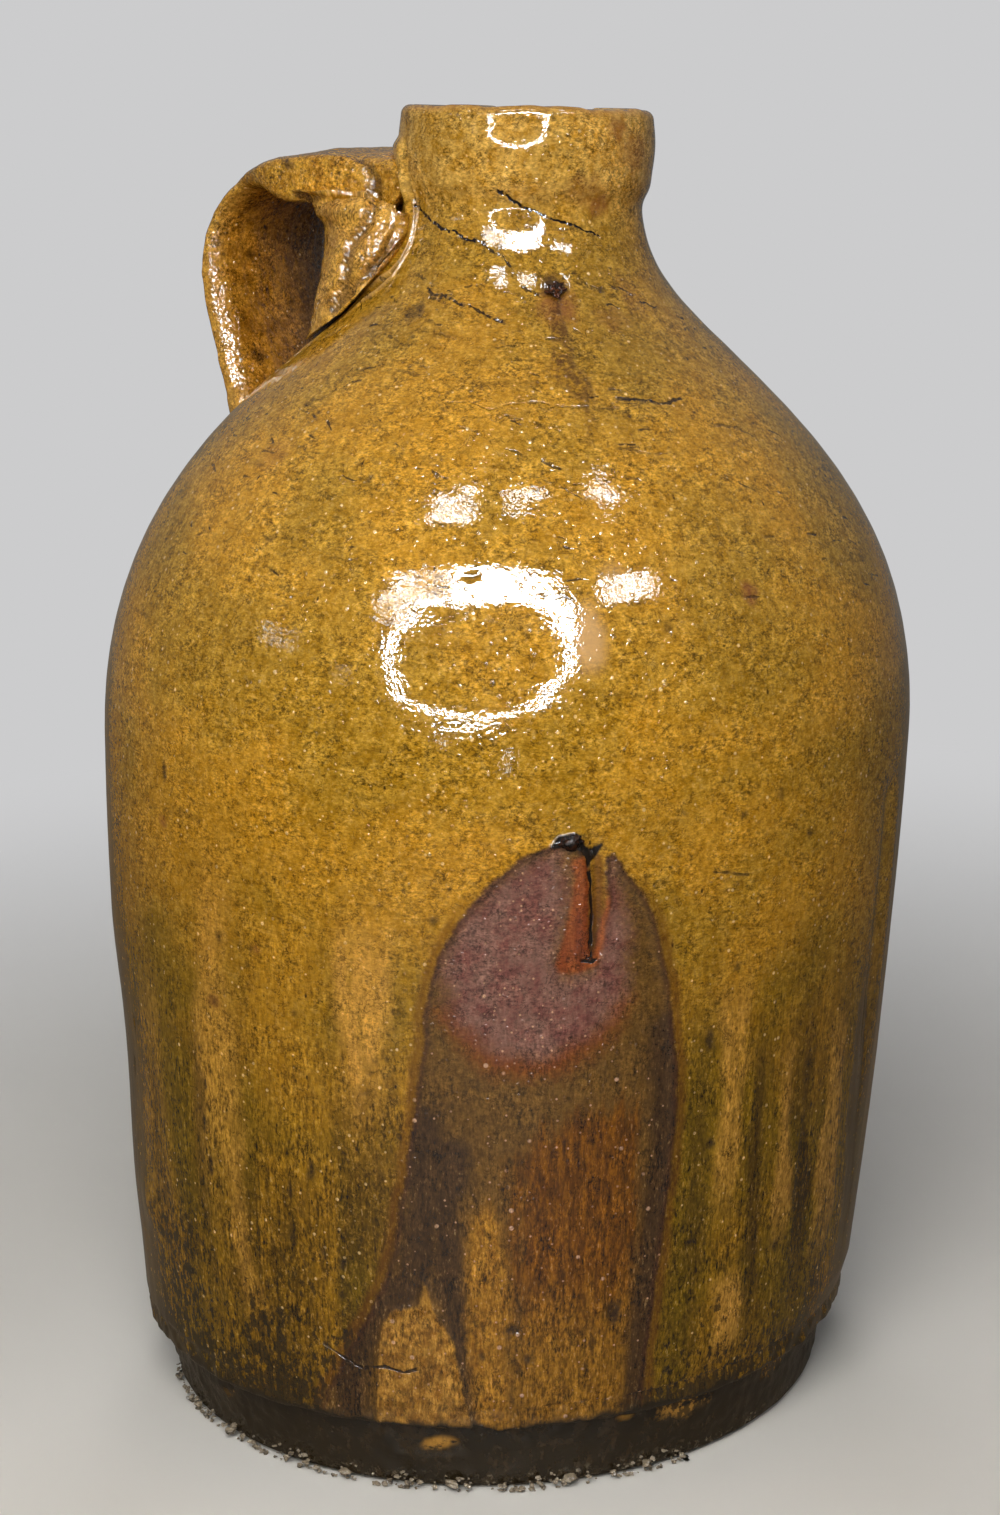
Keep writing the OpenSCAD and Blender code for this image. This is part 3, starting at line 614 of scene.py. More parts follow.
def add_clay(relief, pot, shape):
    """Slow unevenness, throwing rings on the shoulder, a dent, a bulge and a long crease."""
    az, h, flow = pot.az, pot.h, pot.flow
    body = pot.zone == BODY
    streak = flow * np.array([1, 1, 0.07])
    ringed = np.clip((h - 150) / 40, 0, 1) * np.clip((262 - h) / 10, 0, 1)
    turns = h * 2 * math.pi / 6.5 + np.radians(az) + 1.2 * noise(flow, 30, 4)
    relief += 0.014 * np.sin(turns) * (0.4 + ringed)
    relief += (0.06 * noise(streak, 5, 7) + 0.03 * noise(streak, 1.9, 10)) * shape["low"]
    relief -= 0.25
    relief -= 1.2 * bump((az + 128) / 26) * bump((h - 76) / 34) * body
    relief += 0.9 * np.exp(-(((az + 117) / 5) ** 2 + ((h - 47) / 6) ** 2)) * body
    crease_up = smooth((h - 60) / 50)
    relief -= 0.9 * (np.exp(-(((az - 14.5) / 2.2) ** 2)) * smooth((149 - h) / 6) * crease_up)
    relief += 0.35 * np.exp(-(((az - 19) / 2.4) ** 2)) * smooth((148 - h) / 10) * crease_up


def add_glaze(relief, pot, shape):
    """The runs, the patch with its raised edge, the slit with its lip, the spots and the seam."""
    h = pot.h
    relief += 0.25 * shape["tan"] - 0.2 * shape["dusk"]
    edge = np.exp(-((shape["patch"] + 0.6) / 1.3) ** 2) * smooth((h - 30) / 40)
    relief += 0.22 * edge - 0.18 * smooth(-shape["patch"] / 3) * smooth((h - 60) / 40)
    relief += 0.3 * np.exp(-((shape["dome"] + 0.2) / 0.8) ** 2) + 0.15 * smooth(-shape["oval"] / 2)
    slit = pot.blank()
    k, far, where, side = pot.near(SLIT, 8)
    left = far * side
    slit[k] = smooth((1 - where) * 14) * smooth(where * 14 + 0.4) * (
        0.55 * np.exp(-(((left + 2.2) / 2) ** 2)) - 1.0 * np.exp(-(((left - 1.4) / 1.3) ** 2)))
    relief += slit.reshape(pot.rows, COLS) + 0.5 * smooth(-shape["burnt"] / 0.8)
    relief -= 0.25 * shape["spot"]
    relief += 0.55 * shape["seam"] - 0.45 * shape["seam_groove_shade"]
    relief += 0.3 * shape["run"]


def add_fillets(relief, pot):
    """The clay rises to the strap's root, its tail and the tongue below it."""
    h = pot.h
    body = pot.zone == BODY
    from_root = np.abs(pot.az % 360 - 180)
    relief += 1.3 * smooth((61 - from_root) / 7) * smooth((h - 238) / 14) * smooth((278.5 - h) / 3) * body
    relief += 1.5 * np.exp(-((from_root - 58) / 3) ** 2 - ((h - 266) / 5) ** 2) * body
    across_tail = pot.radius * np.radians(from_root)
    past_tail = np.hypot(np.maximum(across_tail - TAIL_W / 2 + 1, 0),
                         np.maximum(np.maximum(h - TAIL_IN[1], TAIL_OUT[1] - h), 0))
    past_tongue = np.maximum((TONGUE_H - h) / TONGUE_L, (h - TONGUE_H) / 3.1)
    tongue = np.hypot(across_tail / (TONGUE_W / 2), past_tongue)
    relief += np.maximum(1.1 * smooth((3.4 - past_tail) / 3.4), 0.75 * smooth((1.3 - tongue) / 0.3)) * body


def add_foot(relief, pot):
    """The rough foot, the flat base and the plain inside."""
    foot = pot.zone == FOOT
    lumps = np.clip(noise(pot.upright, 5, 21), 0.15, 1) - 0.15
    rough = 0.5 * lumps + 0.25 * noise(pot.upright, 2.2, 22)
    relief += foot * rough * smooth((pot.placed[..., 2] - 1) / 3)
    relief -= foot * 0.35
    relief *= np.where(pot.zone == INSIDE, 0.8, 1)
    relief[pot.zone == BASE] = 0


def jug_relief(pot, shape):
    """Relief along the normal, in mm."""
    space = pot.upright
    relief = 0.28 * noise(space, 55, 1) + 0.06 * noise(space, 17, 2) + 0.014 * noise(space, 4.5, 3)
    add_clay(relief, pot, shape)
    add_glaze(relief, pot, shape)
    add_fillets(relief, pot)
    add_foot(relief, pot)
    return relief


def rim_wave(pot):
    """How far the worn rim rises or sinks, in mm, with its two chips."""
    chip = np.exp(-(((pot.az - 2) / 5) ** 2)) + 0.7 * np.exp(-(((pot.az + 22) / 4) ** 2))
    ring = around(pot.az, 0 * pot.h, 28.0)
    wave = 0.35 * noise(ring, 14, 31) + 0.22 * noise(ring, 4.5, 32) - 0.25 - 0.5 * chip
    return smooth((pot.h - 276) / 9) * wave * ((pot.zone == BODY) | (pot.zone == LIP))


def make_jug():
    pot = Pot()
    masks = {}
    for made in (outline_masks, streak_masks, ink_masks, spot_masks, seam_masks, zone_masks):
        masks.update(made(pot))
    shape = {key: value.reshape(pot.rows, COLS) for key, value in masks.items()}
    relief = jug_relief(pot, shape)
    placed = pot.placed + ring_normals(pot.placed) * relief[..., None] + rim_wave(pot)[..., None] * TILT[:, 2]
    vectors = {"flow": pot.flow, "place": pot.upright}
    return skin("jug_glazed", boxed(placed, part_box("jug_body")), masks, vectors)


jug = make_jug()


def wrapped(radius, across, h, bend):
    """Points across the strap, bent round the jug by a share from 0 to 1."""
    turn = across / radius
    return np.stack([-radius * lerp(1, np.cos(turn), bend), lerp(across, radius * np.sin(turn), bend),
                     h + 0 * turn], -1)


# Folds where the root was pressed on, as points in mm on the upright jug, with a half width. They are
# measured square to the handle's near side, so that they run on over both pieces
NEAR_WAY = np.array([0.667, -0.744, 0.03])
CREASES = [
    (0.7, [(-28.5, -22.2, 273.5), (-27.3, -21.2, 272.3), (-26.5, -20.6, 269.8), (-25.9, -20.1, 267.1),
     (-25.3, -19.7, 264.6), (-25.8, -20.2, 262.1), (-26.3, -20.7, 260.5)]),
    (0.8, [(-26.3, -20.7, 260.5), (-27.4, -21.8, 257.7), (-28.6, -23.0, 255.1), (-29.3, -23.8, 252.0),
     (-29.7, -24.3, 248.8), (-30.4, -25.0, 245.0), (-31.5, -26.1, 241.9)]),
    (0.8, [(-20.9, -15.9, 261.6), (-21.8, -16.8, 257.9), (-23.3, -18.3, 254.0), (-26.0, -20.9, 249.6),
     (-28.7, -23.5, 246.0), (-30.5, -25.3, 242.9), (-31.9, -26.6, 240.6)])]
RIDGES = [
    (4, [(-34.6, -27.7, 271.7), (-31.2, -24.9, 266.9), (-29.1, -23.2, 260.7), (-30.8, -25.1, 253.8),
     (-32.6, -26.9, 247.6), (-34.3, -28.7, 241.8)]),
    (2.3, [(-22.5, -17.3, 261.6), (-24.3, -19.1, 257.8), (-26.5, -21.3, 252.7), (-28.6, -23.3, 247.7)])]
# The wad fills the groove under the strap's near edge
FILL = [
    (2.2, [(-39.9, -29.7, 263.3), (-37, -27.1, 262.7), (-33.7, -24.2, 262.4), (-30.5, -21.3, 262.7),
     (-28, -19, 263.4)])]
STRAP_SPOTS = [
    (0.9, [(-61.8, -19.3, 228.4), (-60.8, -18.4, 227.5)]),
    (0.8, [(-69.4, -25.1, 253.4), (-68.7, -24.5, 253.2)]),
    (0.5, [(-63.2, -19.6, 251.1), (-62.7, -19.2, 250.7)]),
    (0.6, [(-57.5, -13.7, 271.6), (-57.0, -13.2, 270.7)])]


def flattened(points):
    """Points moved along NEAR_WAY onto one plane."""
    return points - (points @ NEAR_WAY)[:, None] * NEAR_WAY


def beside(grid, lines, normal):
    """1 on the nearest line, falling to 0 at twice its half width, on what faces the near side."""
    flat = flattened(grid.reshape(-1, 3))
    best = np.zeros(len(flat))
    for width, line in lines:
        line = flattened(np.array(line, float))
        k = np.flatnonzero(np.all((flat > line.min(0) - 7) & (flat < line.max(0) + 7), axis=1))
        far = from_line(flat[k], line)[0]
        best[k] = np.maximum(best[k], smooth(1.35 - (far + 0.5 * noise(flat[k], 2.5, 57)) / (width * 1.5)))
    return best.reshape(grid.shape[:2]) * smooth((normal @ NEAR_WAY + 0.05) / 0.35)


def squared(x):
    """A cosine or sine pushed out toward a rounded square."""
    return np.sign(x) * np.abs(x) ** (2 / 2.3)


def make_strap():
    sides = 132
    turn = np.radians(np.arange(sides) * 360 / sides)
    q0, q1 = squared(np.cos(turn)), squared(np.sin(turn))
    far_side = np.sign(wrapped(40.0, 1.0, 0.0, 0)[1])
    rings, along = [], []

    def seated(inner, outer, width, first, final, s):
        """Rings on the jug that close an end of the strap."""
        for size in np.linspace(first, final, 12):
            up = lerp(inner[1], outer[1], (q1 * size + 1) / 2)
            rings.append(wrapped(shell_r(up) + GAP, q0 * size * width / 2, up, 1))
            along.append(s)

    seated(ROOT_IN, ROOT_OUT, ROOT_W, 0.12, 0.98, 0)
    last = len(OUTER) - 1
    for i in range(1, last):
        s = i / last
        out, inn = OUTER[i], INNER[i]
        head, tail = smooth(s / 0.3), smooth((s - 0.85) / 0.15)
        # The thumb-drawn hollow along the outside, and a fuller inside
        dish = 1.1 * smooth(s / 0.2) * smooth((1 - s) / 0.2)
        dip = np.maximum(0, q1) * dish * (1 - smooth(np.abs(q0) / 0.42))
        fuller = 0.24 * np.maximum(0, -q1) * smooth((s - 0.34) / 0.2) * smooth((0.97 - s) / 0.06)
        p = lerp(inn, out, ((q1 + 1) / 2 - dip / np.linalg.norm(out - inn) - fuller)[:, None])
        width = STRAP_W + (ROOT_W - STRAP_W) * (1 - head) + (TAIL_W - STRAP_W) * tail
        flare = 5.5 * np.maximum(0, q0 * far_side) * far_side
        across = q0 * width / 2 + flare * smooth((s - 0.12) / 0.4) * smooth((0.93 - s) / 0.2)
        ring = wrapped(p[:, 0], across, p[:, 1], 1 - head + tail)
        # The near edge of the root is drawn out and droops over the wad
        near_side = np.maximum(0, -q0 * far_side) ** 0.6
        ring[:, 1] -= 3.4 * near_side * smooth((s - 0.02) / 0.06) * smooth((0.3 - s) / 0.14)
        past = np.maximum(-ring[:, 1] - 21.6, 0)
        ring[:, 1] += past - 1.9 * (1 - np.exp(-past / 1.9))
        droop = (3.5 + 1.5 * near_side) * smooth((0.2 - q1) / 0.8) * smooth((np.abs(q0) - 0.4) / 0.4)
        ring[:, 2] -= droop * smooth(s / 0.02) * smooth((0.3 - s) / 0.14)
        rings.append(ring)
        along.append(s)
    seated(TAIL_IN, TAIL_OUT, TAIL_W, 0.98, 0.12, 1)
    grid, s = np.array(rings), np.array(along)[:, None] + np.zeros(sides)
    normal = ring_normals(grid)
    ends = smooth(s / 0.03) * smooth((1 - s) / 0.03)
    relief = 0.35 * noise(grid, 11, 51) + 0.2 * noise(grid, 4.5, 52) + 0.09 * noise(grid, 1.8, 53) - 0.4
    fold, swell = beside(grid, CREASES, normal), beside(grid, RIDGES, normal)
    relief += 0.5 * swell - 0.9 * fold
    relief += 0.12 * noise(np.stack([grid[..., 1] * 1.0, s * 12, 0 * s], -1), 1.6, 54)
    placed = stand(sway(grid + normal * (relief * ends)[..., None]))
    # The inner face is painted darker as shade inside the loop
    masks = {"inner": smooth(-q1 * 1.5 - 0.2) * smooth((s - 0.12) / 0.1) * ends,
             # The folds are painted dark as shade in them; the strap's dark spots share this mask
             "crease": np.maximum(fold, beside(grid, STRAP_SPOTS, normal)),
             # The edges are painted paler, partly as thinner glaze and partly as a painted highlight
             "thin_edge_and_highlight": smooth((np.abs(q0) - 0.72) / 0.2) * smooth((s - 0.2) / 0.2),
             # The far half of the inner face is painted darker still as shade
             "deep": smooth((q0 + 0.1) / 0.8) * smooth(-q1 * 1.5) * ends}
    return skin("strap_glazed", boxed(placed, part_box("strap_handle")), masks, {"flow": grid})


strap = make_strap()


def make_root_wad():
    """The wad under the root, as rings that each go up the neck and down the wad's face at one bearing."""
    reach, angle = 48, 63  # How far out and how far round it goes, as in the part's source
    rows, cols = 70, 150
    low = np.array([float(shell_r(shoulder_h(reach))) + GAP, float(shoulder_h(reach))])
    high = ROOT_IN_H - GAP
    top_line = spaced(INNER[4:37], 0.6) - [0, GAP]
    top = top_line[-1]
    face = bezier(top, [reach * 0.9, top[1] - 1.2], [reach * 0.99, lerp(low[1], top[1], 0.5)], low, rows)
    outside = np.vstack([top_line, face[1:-1]])
    end = angle * 0.97
    rings, turns = [], []
    for i in range(cols + 1):
        turn = end * math.sin(math.radians(lerp(-90, 90, i / cols)))
        u = abs(turn) / angle
        size = math.sqrt(1 - u * u)
        foot = lerp(low[1], high, u**4)
        inside_h = np.linspace(foot, high, rows + 1)
        inside = np.stack([shell_r(inside_h) + GAP, inside_h], -1)
        up = np.minimum(1, (outside[:, 1] - low[1]) / (high - low[1]))
        seat_h = lerp(foot, high, up)
        seat = np.stack([shell_r(seat_h) + GAP, seat_h], -1)
        p = np.vstack([inside, lerp(seat, outside, size)])
        a = math.radians(turn)
        rings.append(np.stack([-p[:, 0] * math.cos(a), p[:, 0] * math.sin(a), p[:, 1]], -1))
        turns.append(turn)
    grid = np.array(rings)
    # Near its top the wad is drawn in under the strap's edge, so that the two flow into each other
    x, y, h = grid[..., 0].copy(), grid[..., 1].copy(), grid[..., 2].copy()
    far = np.hypot(x, y)
    top_h = np.interp(far, top_line[:, 0], top_line[:, 1])
    depth = smooth((h - top_h + 15) / 15)
    strap_half = np.interp(far, [26, 32, 38, 44], [22.6, 23.4, 23.2, 21.5]) + 1.3 * (y < 0)
    over = np.maximum(np.abs(y) - strap_half, 0)
    share = np.where(y < 0, 0.4 + 0.6 * smooth((h - top_h + 5) / 5), 0.7)
    grid[..., 1] -= np.sign(y) * over * depth * share * smooth((far - 26.6) / 7) * smooth((51 - far) / 12)
    normal = ring_normals(grid)
    face_mask = np.concatenate([np.zeros(rows + 1), np.ones(len(outside))]) * np.ones((cols + 1, 1))
    relief = 0.5 * noise(grid, 12, 61) + 0.28 * noise(grid, 5, 62) + 0.12 * noise(grid, 1.9, 63) - 0.45
    relief += 0.08 * noise(grid, 1.1, 64)
    fold, swell = beside(grid, CREASES, normal), beside(grid, RIDGES, normal)
    relief += 1.1 * swell - 1.2 * fold + 1.7 * beside(grid, FILL, normal)
    placed = stand(sway(grid + normal * (relief * face_mask)[..., None]))
    none = 0 * face_mask
    # Its folds are painted dark as shade in them, and its ridges paler, partly as thinner glaze and partly as
    # a painted highlight
    masks = {"inner": none, "deep": none, "crease": fold * face_mask, "thin_edge_and_highlight": swell * face_mask}
    return skin("root_wad_glazed", boxed(placed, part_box("root_wad")), masks, {"flow": grid})


root_wad = make_root_wad()


def pad_grid(angle, h, width, length, thick, top_share, dent, ragged, steps, sides=90):
    """The rings of a low pad on the jug, and how far each stands off it. It reaches down by its length and up
    by a share of it, has a dent in its middle, and has an uneven outline where it is ragged."""
    turn = np.radians(np.arange(sides) * 360 / sides)
    rim = np.stack([np.cos(turn), np.sin(turn), 0 * turn], -1)
    rim = 1 - ragged * (0.5 + 0.5 * noise(rim, 0.9, 95) + 0.3 * noise(rim, 0.35, 96))

    def point(reach, lift):
        across = reach * rim * np.cos(turn) * width / 2
        up = reach * rim * np.sin(turn) * length * np.where(np.sin(turn) > 0, top_share, 1)
        radius = shell_r(h + up) + GAP
        bearing = math.radians(angle) + across / radius
        return np.stack([(radius + lift) * np.cos(bearing), (radius + lift) * np.sin(bearing), h + up], -1)

    crown, lifts = [], []
    for i in range(1, steps):
        reach = math.sin(math.radians(90 * i / steps))
        lift = thick * math.sqrt(1 - reach * reach) - dent * (1 - float(smooth(reach / 0.6)))
        crown.append(point(reach, lift))
        lifts.append(lift)
    base = [point(i / steps, 0) for i in range(steps, 0, -1)]
    return np.array(crown + base), np.array(lifts + [0] * steps)[:, None] + np.zeros(sides)


def make_pad(name, relief_mm, seed, **sizes):
    grid, lift = pad_grid(**sizes)
    normal = ring_normals(grid)
    relief = relief_mm * (noise(grid, 5, seed) + 0.5 * noise(grid, 2, seed + 1) - 0.8) * smooth(lift)
    placed = stand(sway(grid + normal * relief[..., None]))
    return skin(name, placed, {key: 0 * lift for key in ("inner", "crease", "thin_edge_and_highlight", "deep")}, {"flow": grid})


tail_wad = make_pad("tail_wad_glazed", 0.35, 71, angle=180, h=TONGUE_H, width=TONGUE_W, length=TONGUE_L,
                    thick=4.5, top_share=0.12, dent=1.6, ragged=0, steps=26)
slag = make_pad("slag_lump", 0.5, 81, angle=-43.9, h=BELLY_H - 6, width=6.4, length=4.6 / 1.8,
                thick=1.7, top_share=0.8, dent=0, ragged=0.5, steps=24)
drip = make_pad("neck_crust", 0.9, 91, angle=-40.6, h=HEIGHT - 37, width=7.2, length=5.4 / 1.8,
                thick=0.9, top_share=0.8, dent=0, ragged=0.9, steps=24)


def make_grit():
    """Crumbs of burnt-on grit: those of the part, each with smaller ones beside it."""
    crumbs = []

    def uneven(i, seed):
        """An uneven number from 0 to 1, as in the part's source."""
        v = math.sin(math.radians(i * 137.5 + seed * 71)) * 43.7
        return v - math.floor(v)

    for i in range(18):
        d = lerp(1.6, 3.2, uneven(i, 1) ** 2)
        bearing = -128 + 112 * (i + uneven(i, 2) / 2) / 18
        crumbs.append((bearing, 1.2 + d / 3, d * lerp(0.55, 0.8, uneven(i, 9))))
        for k in range(i * 14, i * 14 + 14):
            crumbs.append((bearing + lerp(-3.4, 3.4, uneven(k, 5)), lerp(0.4, 4.4, uneven(k, 6) ** 2.5),
                           lerp(0.35, 1.2, uneven(k, 4) ** 2)))
    lo, hi = (np.array(c) * 1000 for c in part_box("foot_grit"))
    verts, faces = [], []
    ball = bpy.data.meshes.new("ball")
    bm = bmesh.new()
    bmesh.ops.create_icosphere(bm, subdivisions=3, radius=0.5)
    bm.to_mesh(ball)
    bm.free()
    shape = np.array([v.co for v in ball.vertices])
    tris = np.array([p.vertices for p in ball.polygons])
    bpy.data.meshes.remove(ball)
    for n, (bearing, up, d) in enumerate(crumbs):
        r = lerp(FOOT_R, BAND_R, up / FOOT_H) + d * 0.16
        centre = around(np.array(bearing), up, r)
        p = shape * d * (1 + 0.75 * noise(shape * 2 + n * 5.7, 0.7, 101))[:, None]
        stretch = np.array([0.8 + 0.6 * uneven(n, 3), 0.7 + 0.6 * uneven(n, 7), 0.5 + 0.4 * uneven(n, 8)])
        p = p * stretch + centre
        verts.append(np.clip(p, [lo[0], lo[1], 0.05], hi))
        faces.append(tris + n * len(shape))
    verts = np.vstack(verts)
    mesh = bpy.data.meshes.new("grit_crumbs")
    mesh.from_pydata((verts / 1000).tolist(), [], np.vstack(faces).tolist())
    mesh.update()
    flow = mesh.attributes.new("flow", "FLOAT_VECTOR", "POINT")
    flow.data.foreach_set("vector", verts.astype(np.float32).ravel())
    return added("grit_crumbs", mesh)


grit = make_grit()


# Materials
class Nodes:
    """The node tree of a new material or of the world, with short names for its nodes."""

    def __init__(self, owner):
        owner.use_nodes = True
        self.owner, self.tree = owner, owner.node_tree
        self.shader = self.tree.nodes.get("Principled BSDF")

    def put(self, socket, value):
        if isinstance(value, bpy.types.NodeSocket):
            self.tree.links.new(value, socket)
        elif isinstance(value, tuple) and len(value) == 3 and socket.type == "RGBA":
            socket.default_value = (*value, 1)
        else:
            socket.default_value = value

    def node(self, kind, inputs, output=0, **settings):
        """A new node's output. The inputs are {name or number: value or socket}."""
        made = self.tree.nodes.new("ShaderNode" + kind)
        for key, value in settings.items():
            setattr(made, key, value)
        for key, value in inputs.items():
            self.put(made.inputs[key], value)
        return made.outputs[output]

    def attribute(self, name, output="Fac"):
        return self.node("Attribute", {}, output, attribute_name=name)

    def maths(self, operation, a, b=0.0):
        return self.node("Math", {0: a, 1: b}, operation=operation)

    def times(self, a, b):
        return self.maths("MULTIPLY", a, b)

    def add(self, a, b):
        return self.maths("ADD", a, b)

    def larger(self, a, b):
        return self.maths("MAXIMUM", a, b)

    def away(self, value, middle):
        """How far a value is from a middle, on either side."""
        return self.maths("ABSOLUTE", self.add(value, -middle))

    def stretched(self, vector, by):
        return self.node("VectorMath", {0: vector, 1: by}, operation="MULTIPLY")

    def scaled(self, colour, by):
        """A colour made lighter or darker by a factor."""
        return self.node("VectorMath", {0: colour, "Scale": by}, operation="SCALE")

    def noise(self, vector, size, detail=3.0, roughness=0.55, distortion=0.0):
        return self.node("TexNoise", {"Vector": vector, "Scale": 1 / size, "Detail": detail,
                                      "Roughness": roughness, "Distortion": distortion}, "Fac")

    def cells(self, vector, size, output="Distance"):
        return self.node("TexVoronoi", {"Vector": vector, "Scale": 1 / size}, output)

    def ramp(self, value, low, high, to_low=0.0, to_high=1.0):
        """A value taken smoothly from one range to another, and held at its ends."""
        return self.node("MapRange", {"Value": value, "From Min": low, "From Max": high, "To Min": to_low,
                                      "To Max": to_high}, "Result", interpolation_type="SMOOTHSTEP")

    def mix(self, share, a, b):
        return self.node("Mix", {0: share, 6: a, 7: b}, 2, data_type="RGBA")

    def over(self, colour, *layers):
        """Tones laid over a colour, each as (share, tone on screen)."""
        for share, tone in layers:
            colour = self.mix(share, colour, srgb(*tone))
        return colour

    def marked(self, colour, *marks):
        """Tones laid over a colour where an attribute is 1, each as (attribute, strength, tone on screen)."""
        return self.over(colour, *((self.times(self.attribute(name), strength), tone)
                                   for name, strength, tone in marks))

    def blended(self, value, low, high, first, second):
        """Two tones on screen, blended as a value goes from low to high."""
        return self.mix(self.ramp(value, low, high), srgb(*first), srgb(*second))

    def outlined(self, name, soft, *grains):
        """1 inside an outline on the jug and 0 outside it. Each (noise, amount) shifts its edge."""
        far = self.attribute(name)
        for grain, amount in grains:
            far = self.add(far, self.times(self.add(grain, -0.5), amount))
        return self.ramp(far, soft, -soft)

    def finish(self, colour, roughness, height, depth):
        """The finished material, with a bump as deep as depth in metres where height is 1."""
        normal = self.node("Bump", {"Distance": depth, "Strength": 1, "Height": height})
        for name, value in (("Base Color", colour), ("Roughness", roughness), ("Normal", normal)):
            self.put(self.shader.inputs[name], value)
        return self.owner


def material_nodes(name):
    return Nodes(bpy.data.materials.new(name))


def srgb(r, g, b):
    """A colour as it looks on screen, 0 to 255, as the light that it stands for."""
    return tuple(((c / 255 + 0.055) / 1.055) ** 2.4 if c > 10 else c / 255 / 12.92 for c in (r, g, b))


def speckles(n, place, size, share, radius):
    """Small round marks: those within a radius in a share of the cells. The share may be a socket."""
    near = n.ramp(n.cells(place, size), radius, radius * 0.5)
    pick = n.node("SeparateColor", {0: n.cells(place, size, "Color")})
    return n.times(near, n.ramp(n.add(pick, share), 1, 1.03))


def grained(n, colour, place, strength=1.0, low=None, flow=None):
    """Fine grain over any colour: a sharp speckle, veins and pale dots. Where low is 1, it runs downward."""
    speck = n.noise(n.stretched(place, (0.6, 0.6, 1.1)) if low else place, 0.55, 2, 0.8)
    coarse = n.noise(n.stretched(place, (0.7, 0.7, 1)), 1.2, 2, 0.7)
    if low:
        down = n.noise(n.stretched(flow, (1, 1, 0.35)), 0.6, 2, 0.8)
        speck = n.add(speck, n.times(low, n.maths("SUBTRACT", down, speck)))
        broad = n.noise(n.stretched(flow, (1, 1, 0.3)), 1.3, 2, 0.7)
        coarse = n.add(coarse, n.times(low, n.maths("SUBTRACT", broad, coarse)))
    uneven = n.ramp(n.noise(place, 7, 2, 0.6), 0.36, 0.64, 0.55 * strength, 1.25 * strength)
    veins = n.ramp(n.away(n.noise(place, 2.1, 3, 0.6, 0.6), 0.5), 0.04, 0.008)
    veins = n.times(veins, n.ramp(n.noise(place, 2.9, 2, 0.6), 0.48, 0.6))
    by = n.add(n.ramp(speck, 0.36, 0.64, -0.42, 0.42), n.ramp(coarse, 0.34, 0.66, -0.26, 0.26))
    by = n.times(by, uneven)
    if low:
        by = n.times(by, n.ramp(low, 0, 1, 0.84, 1.12))
    by = n.times(n.add(by, 1), n.ramp(veins, 0, 1, 1, 1 - 0.5 * strength))
    dots = n.times(n.ramp(speck, 0.58, 0.72), n.ramp(coarse, 0.45, 0.6, 0, 0.3 * strength))
    return n.over(n.scaled(colour, by), (dots, (222, 188, 122)))


def glaze_base(n, flow, place, low, h):
    """The honey glaze: mottled above, in threads and runs below. Gives its colour, fine noise and mottle."""
    cloud = n.noise(place, 34, 2)
    mottle = n.noise(place, 3.2, 5, 0.72)
    fine = n.noise(place, 1.3, 4, 0.7)
    run = n.noise(n.stretched(flow, (1, 1, 0.05)), 9, 3, 0.5)
    thread = n.noise(n.stretched(flow, (1, 1, 0.09)), 0.85, 4, 0.65)
    rings = n.noise(n.stretched(place, (0.08, 0.08, 1)), 1.5, 3, 0.65)
    grit = n.noise(place, 0.62, 3, 0.7)
    upper = n.over(n.blended(mottle, 0.3, 0.72, (158, 111, 9), (212, 163, 57)),
                   (n.ramp(fine, 0.52, 0.68, 0, 0.6), (216, 172, 84)),
                   (n.ramp(fine, 0.46, 0.32, 0, 0.6), (118, 78, 6)),
                   (n.ramp(cloud, 0.36, 0.66, 0, 0.5), (188, 132, 24)),
                   (n.ramp(rings, 0.56, 0.72, 0, 0.4), (98, 66, 8)),
                   (n.ramp(grit, 0.6, 0.7, 0, 0.5), (92, 60, 8)))
    collar = n.blended(mottle, 0.32, 0.64, (192, 137, 38), (244, 196, 104))
    upper = n.mix(n.ramp(h, 256, 272, 0, 0.8), upper, collar)
    # Painted shade: the glaze is painted darker from 212 mm up, 11% darker from 240 mm, for less light on the
    # neck
    upper = n.scaled(upper, n.ramp(h, 240, 212, 0.89, 1.01))
    lower = n.over(n.blended(run, 0.38, 0.62, (84, 61, 2), (142, 102, 14)),
                   (n.ramp(thread, 0.44, 0.62, 0, 0.7), (70, 46, 2)),
                   (n.ramp(mottle, 0.5, 0.75, 0, 0.45), (160, 118, 32)),
                   (n.ramp(fine, 0.52, 0.66, 0, 0.45), (172, 130, 44)))
    pits = n.larger(speckles(n, n.stretched(flow, (1, 1, 0.55)), 2.7, n.ramp(h, 170, 30, 0.1, 0.3), 0.14),
                    speckles(n, n.stretched(flow, (1, 1, 0.35)), 1.5, n.ramp(h, 105, 26, 0, 0.4), 0.22))
    dashes = speckles(n, n.stretched(place, (0.28, 0.28, 1)), 2.4, n.ramp(h, 175, 215, 0, 0.08), 0.13)
    pale = n.larger(speckles(n, place, 3.1, 0.45, 0.15), speckles(n, place, 1.9, 0.22, 0.17))
    base = n.over(n.mix(low, upper, lower),
                  (n.times(n.ramp(cloud, 0.6, 0.36), n.ramp(low, 0, 1, 0.36, 0.6)), (112, 88, 4)),
                  (n.times(n.larger(pits, dashes), n.ramp(fine, 0.35, 0.6, 0.5, 0.95)), (38, 24, 8)),
                  (n.times(pale, 0.85), (224, 188, 120)))
    return base, fine, mottle


def glaze_height(n, place):
    """Orange peel with fine grain and small blisters."""
    peel = n.noise(place, 2.4, 2, 0.5)
    grain = n.noise(place, 0.85, 1, 0.5)
    blisters = n.larger(speckles(n, place, 1.7, 0.4, 0.3), speckles(n, place, 3.1, 0.32, 0.17))
    return n.add(n.add(n.times(peel, 0.2), n.times(grain, 0.3)), n.times(blisters, 0.8))


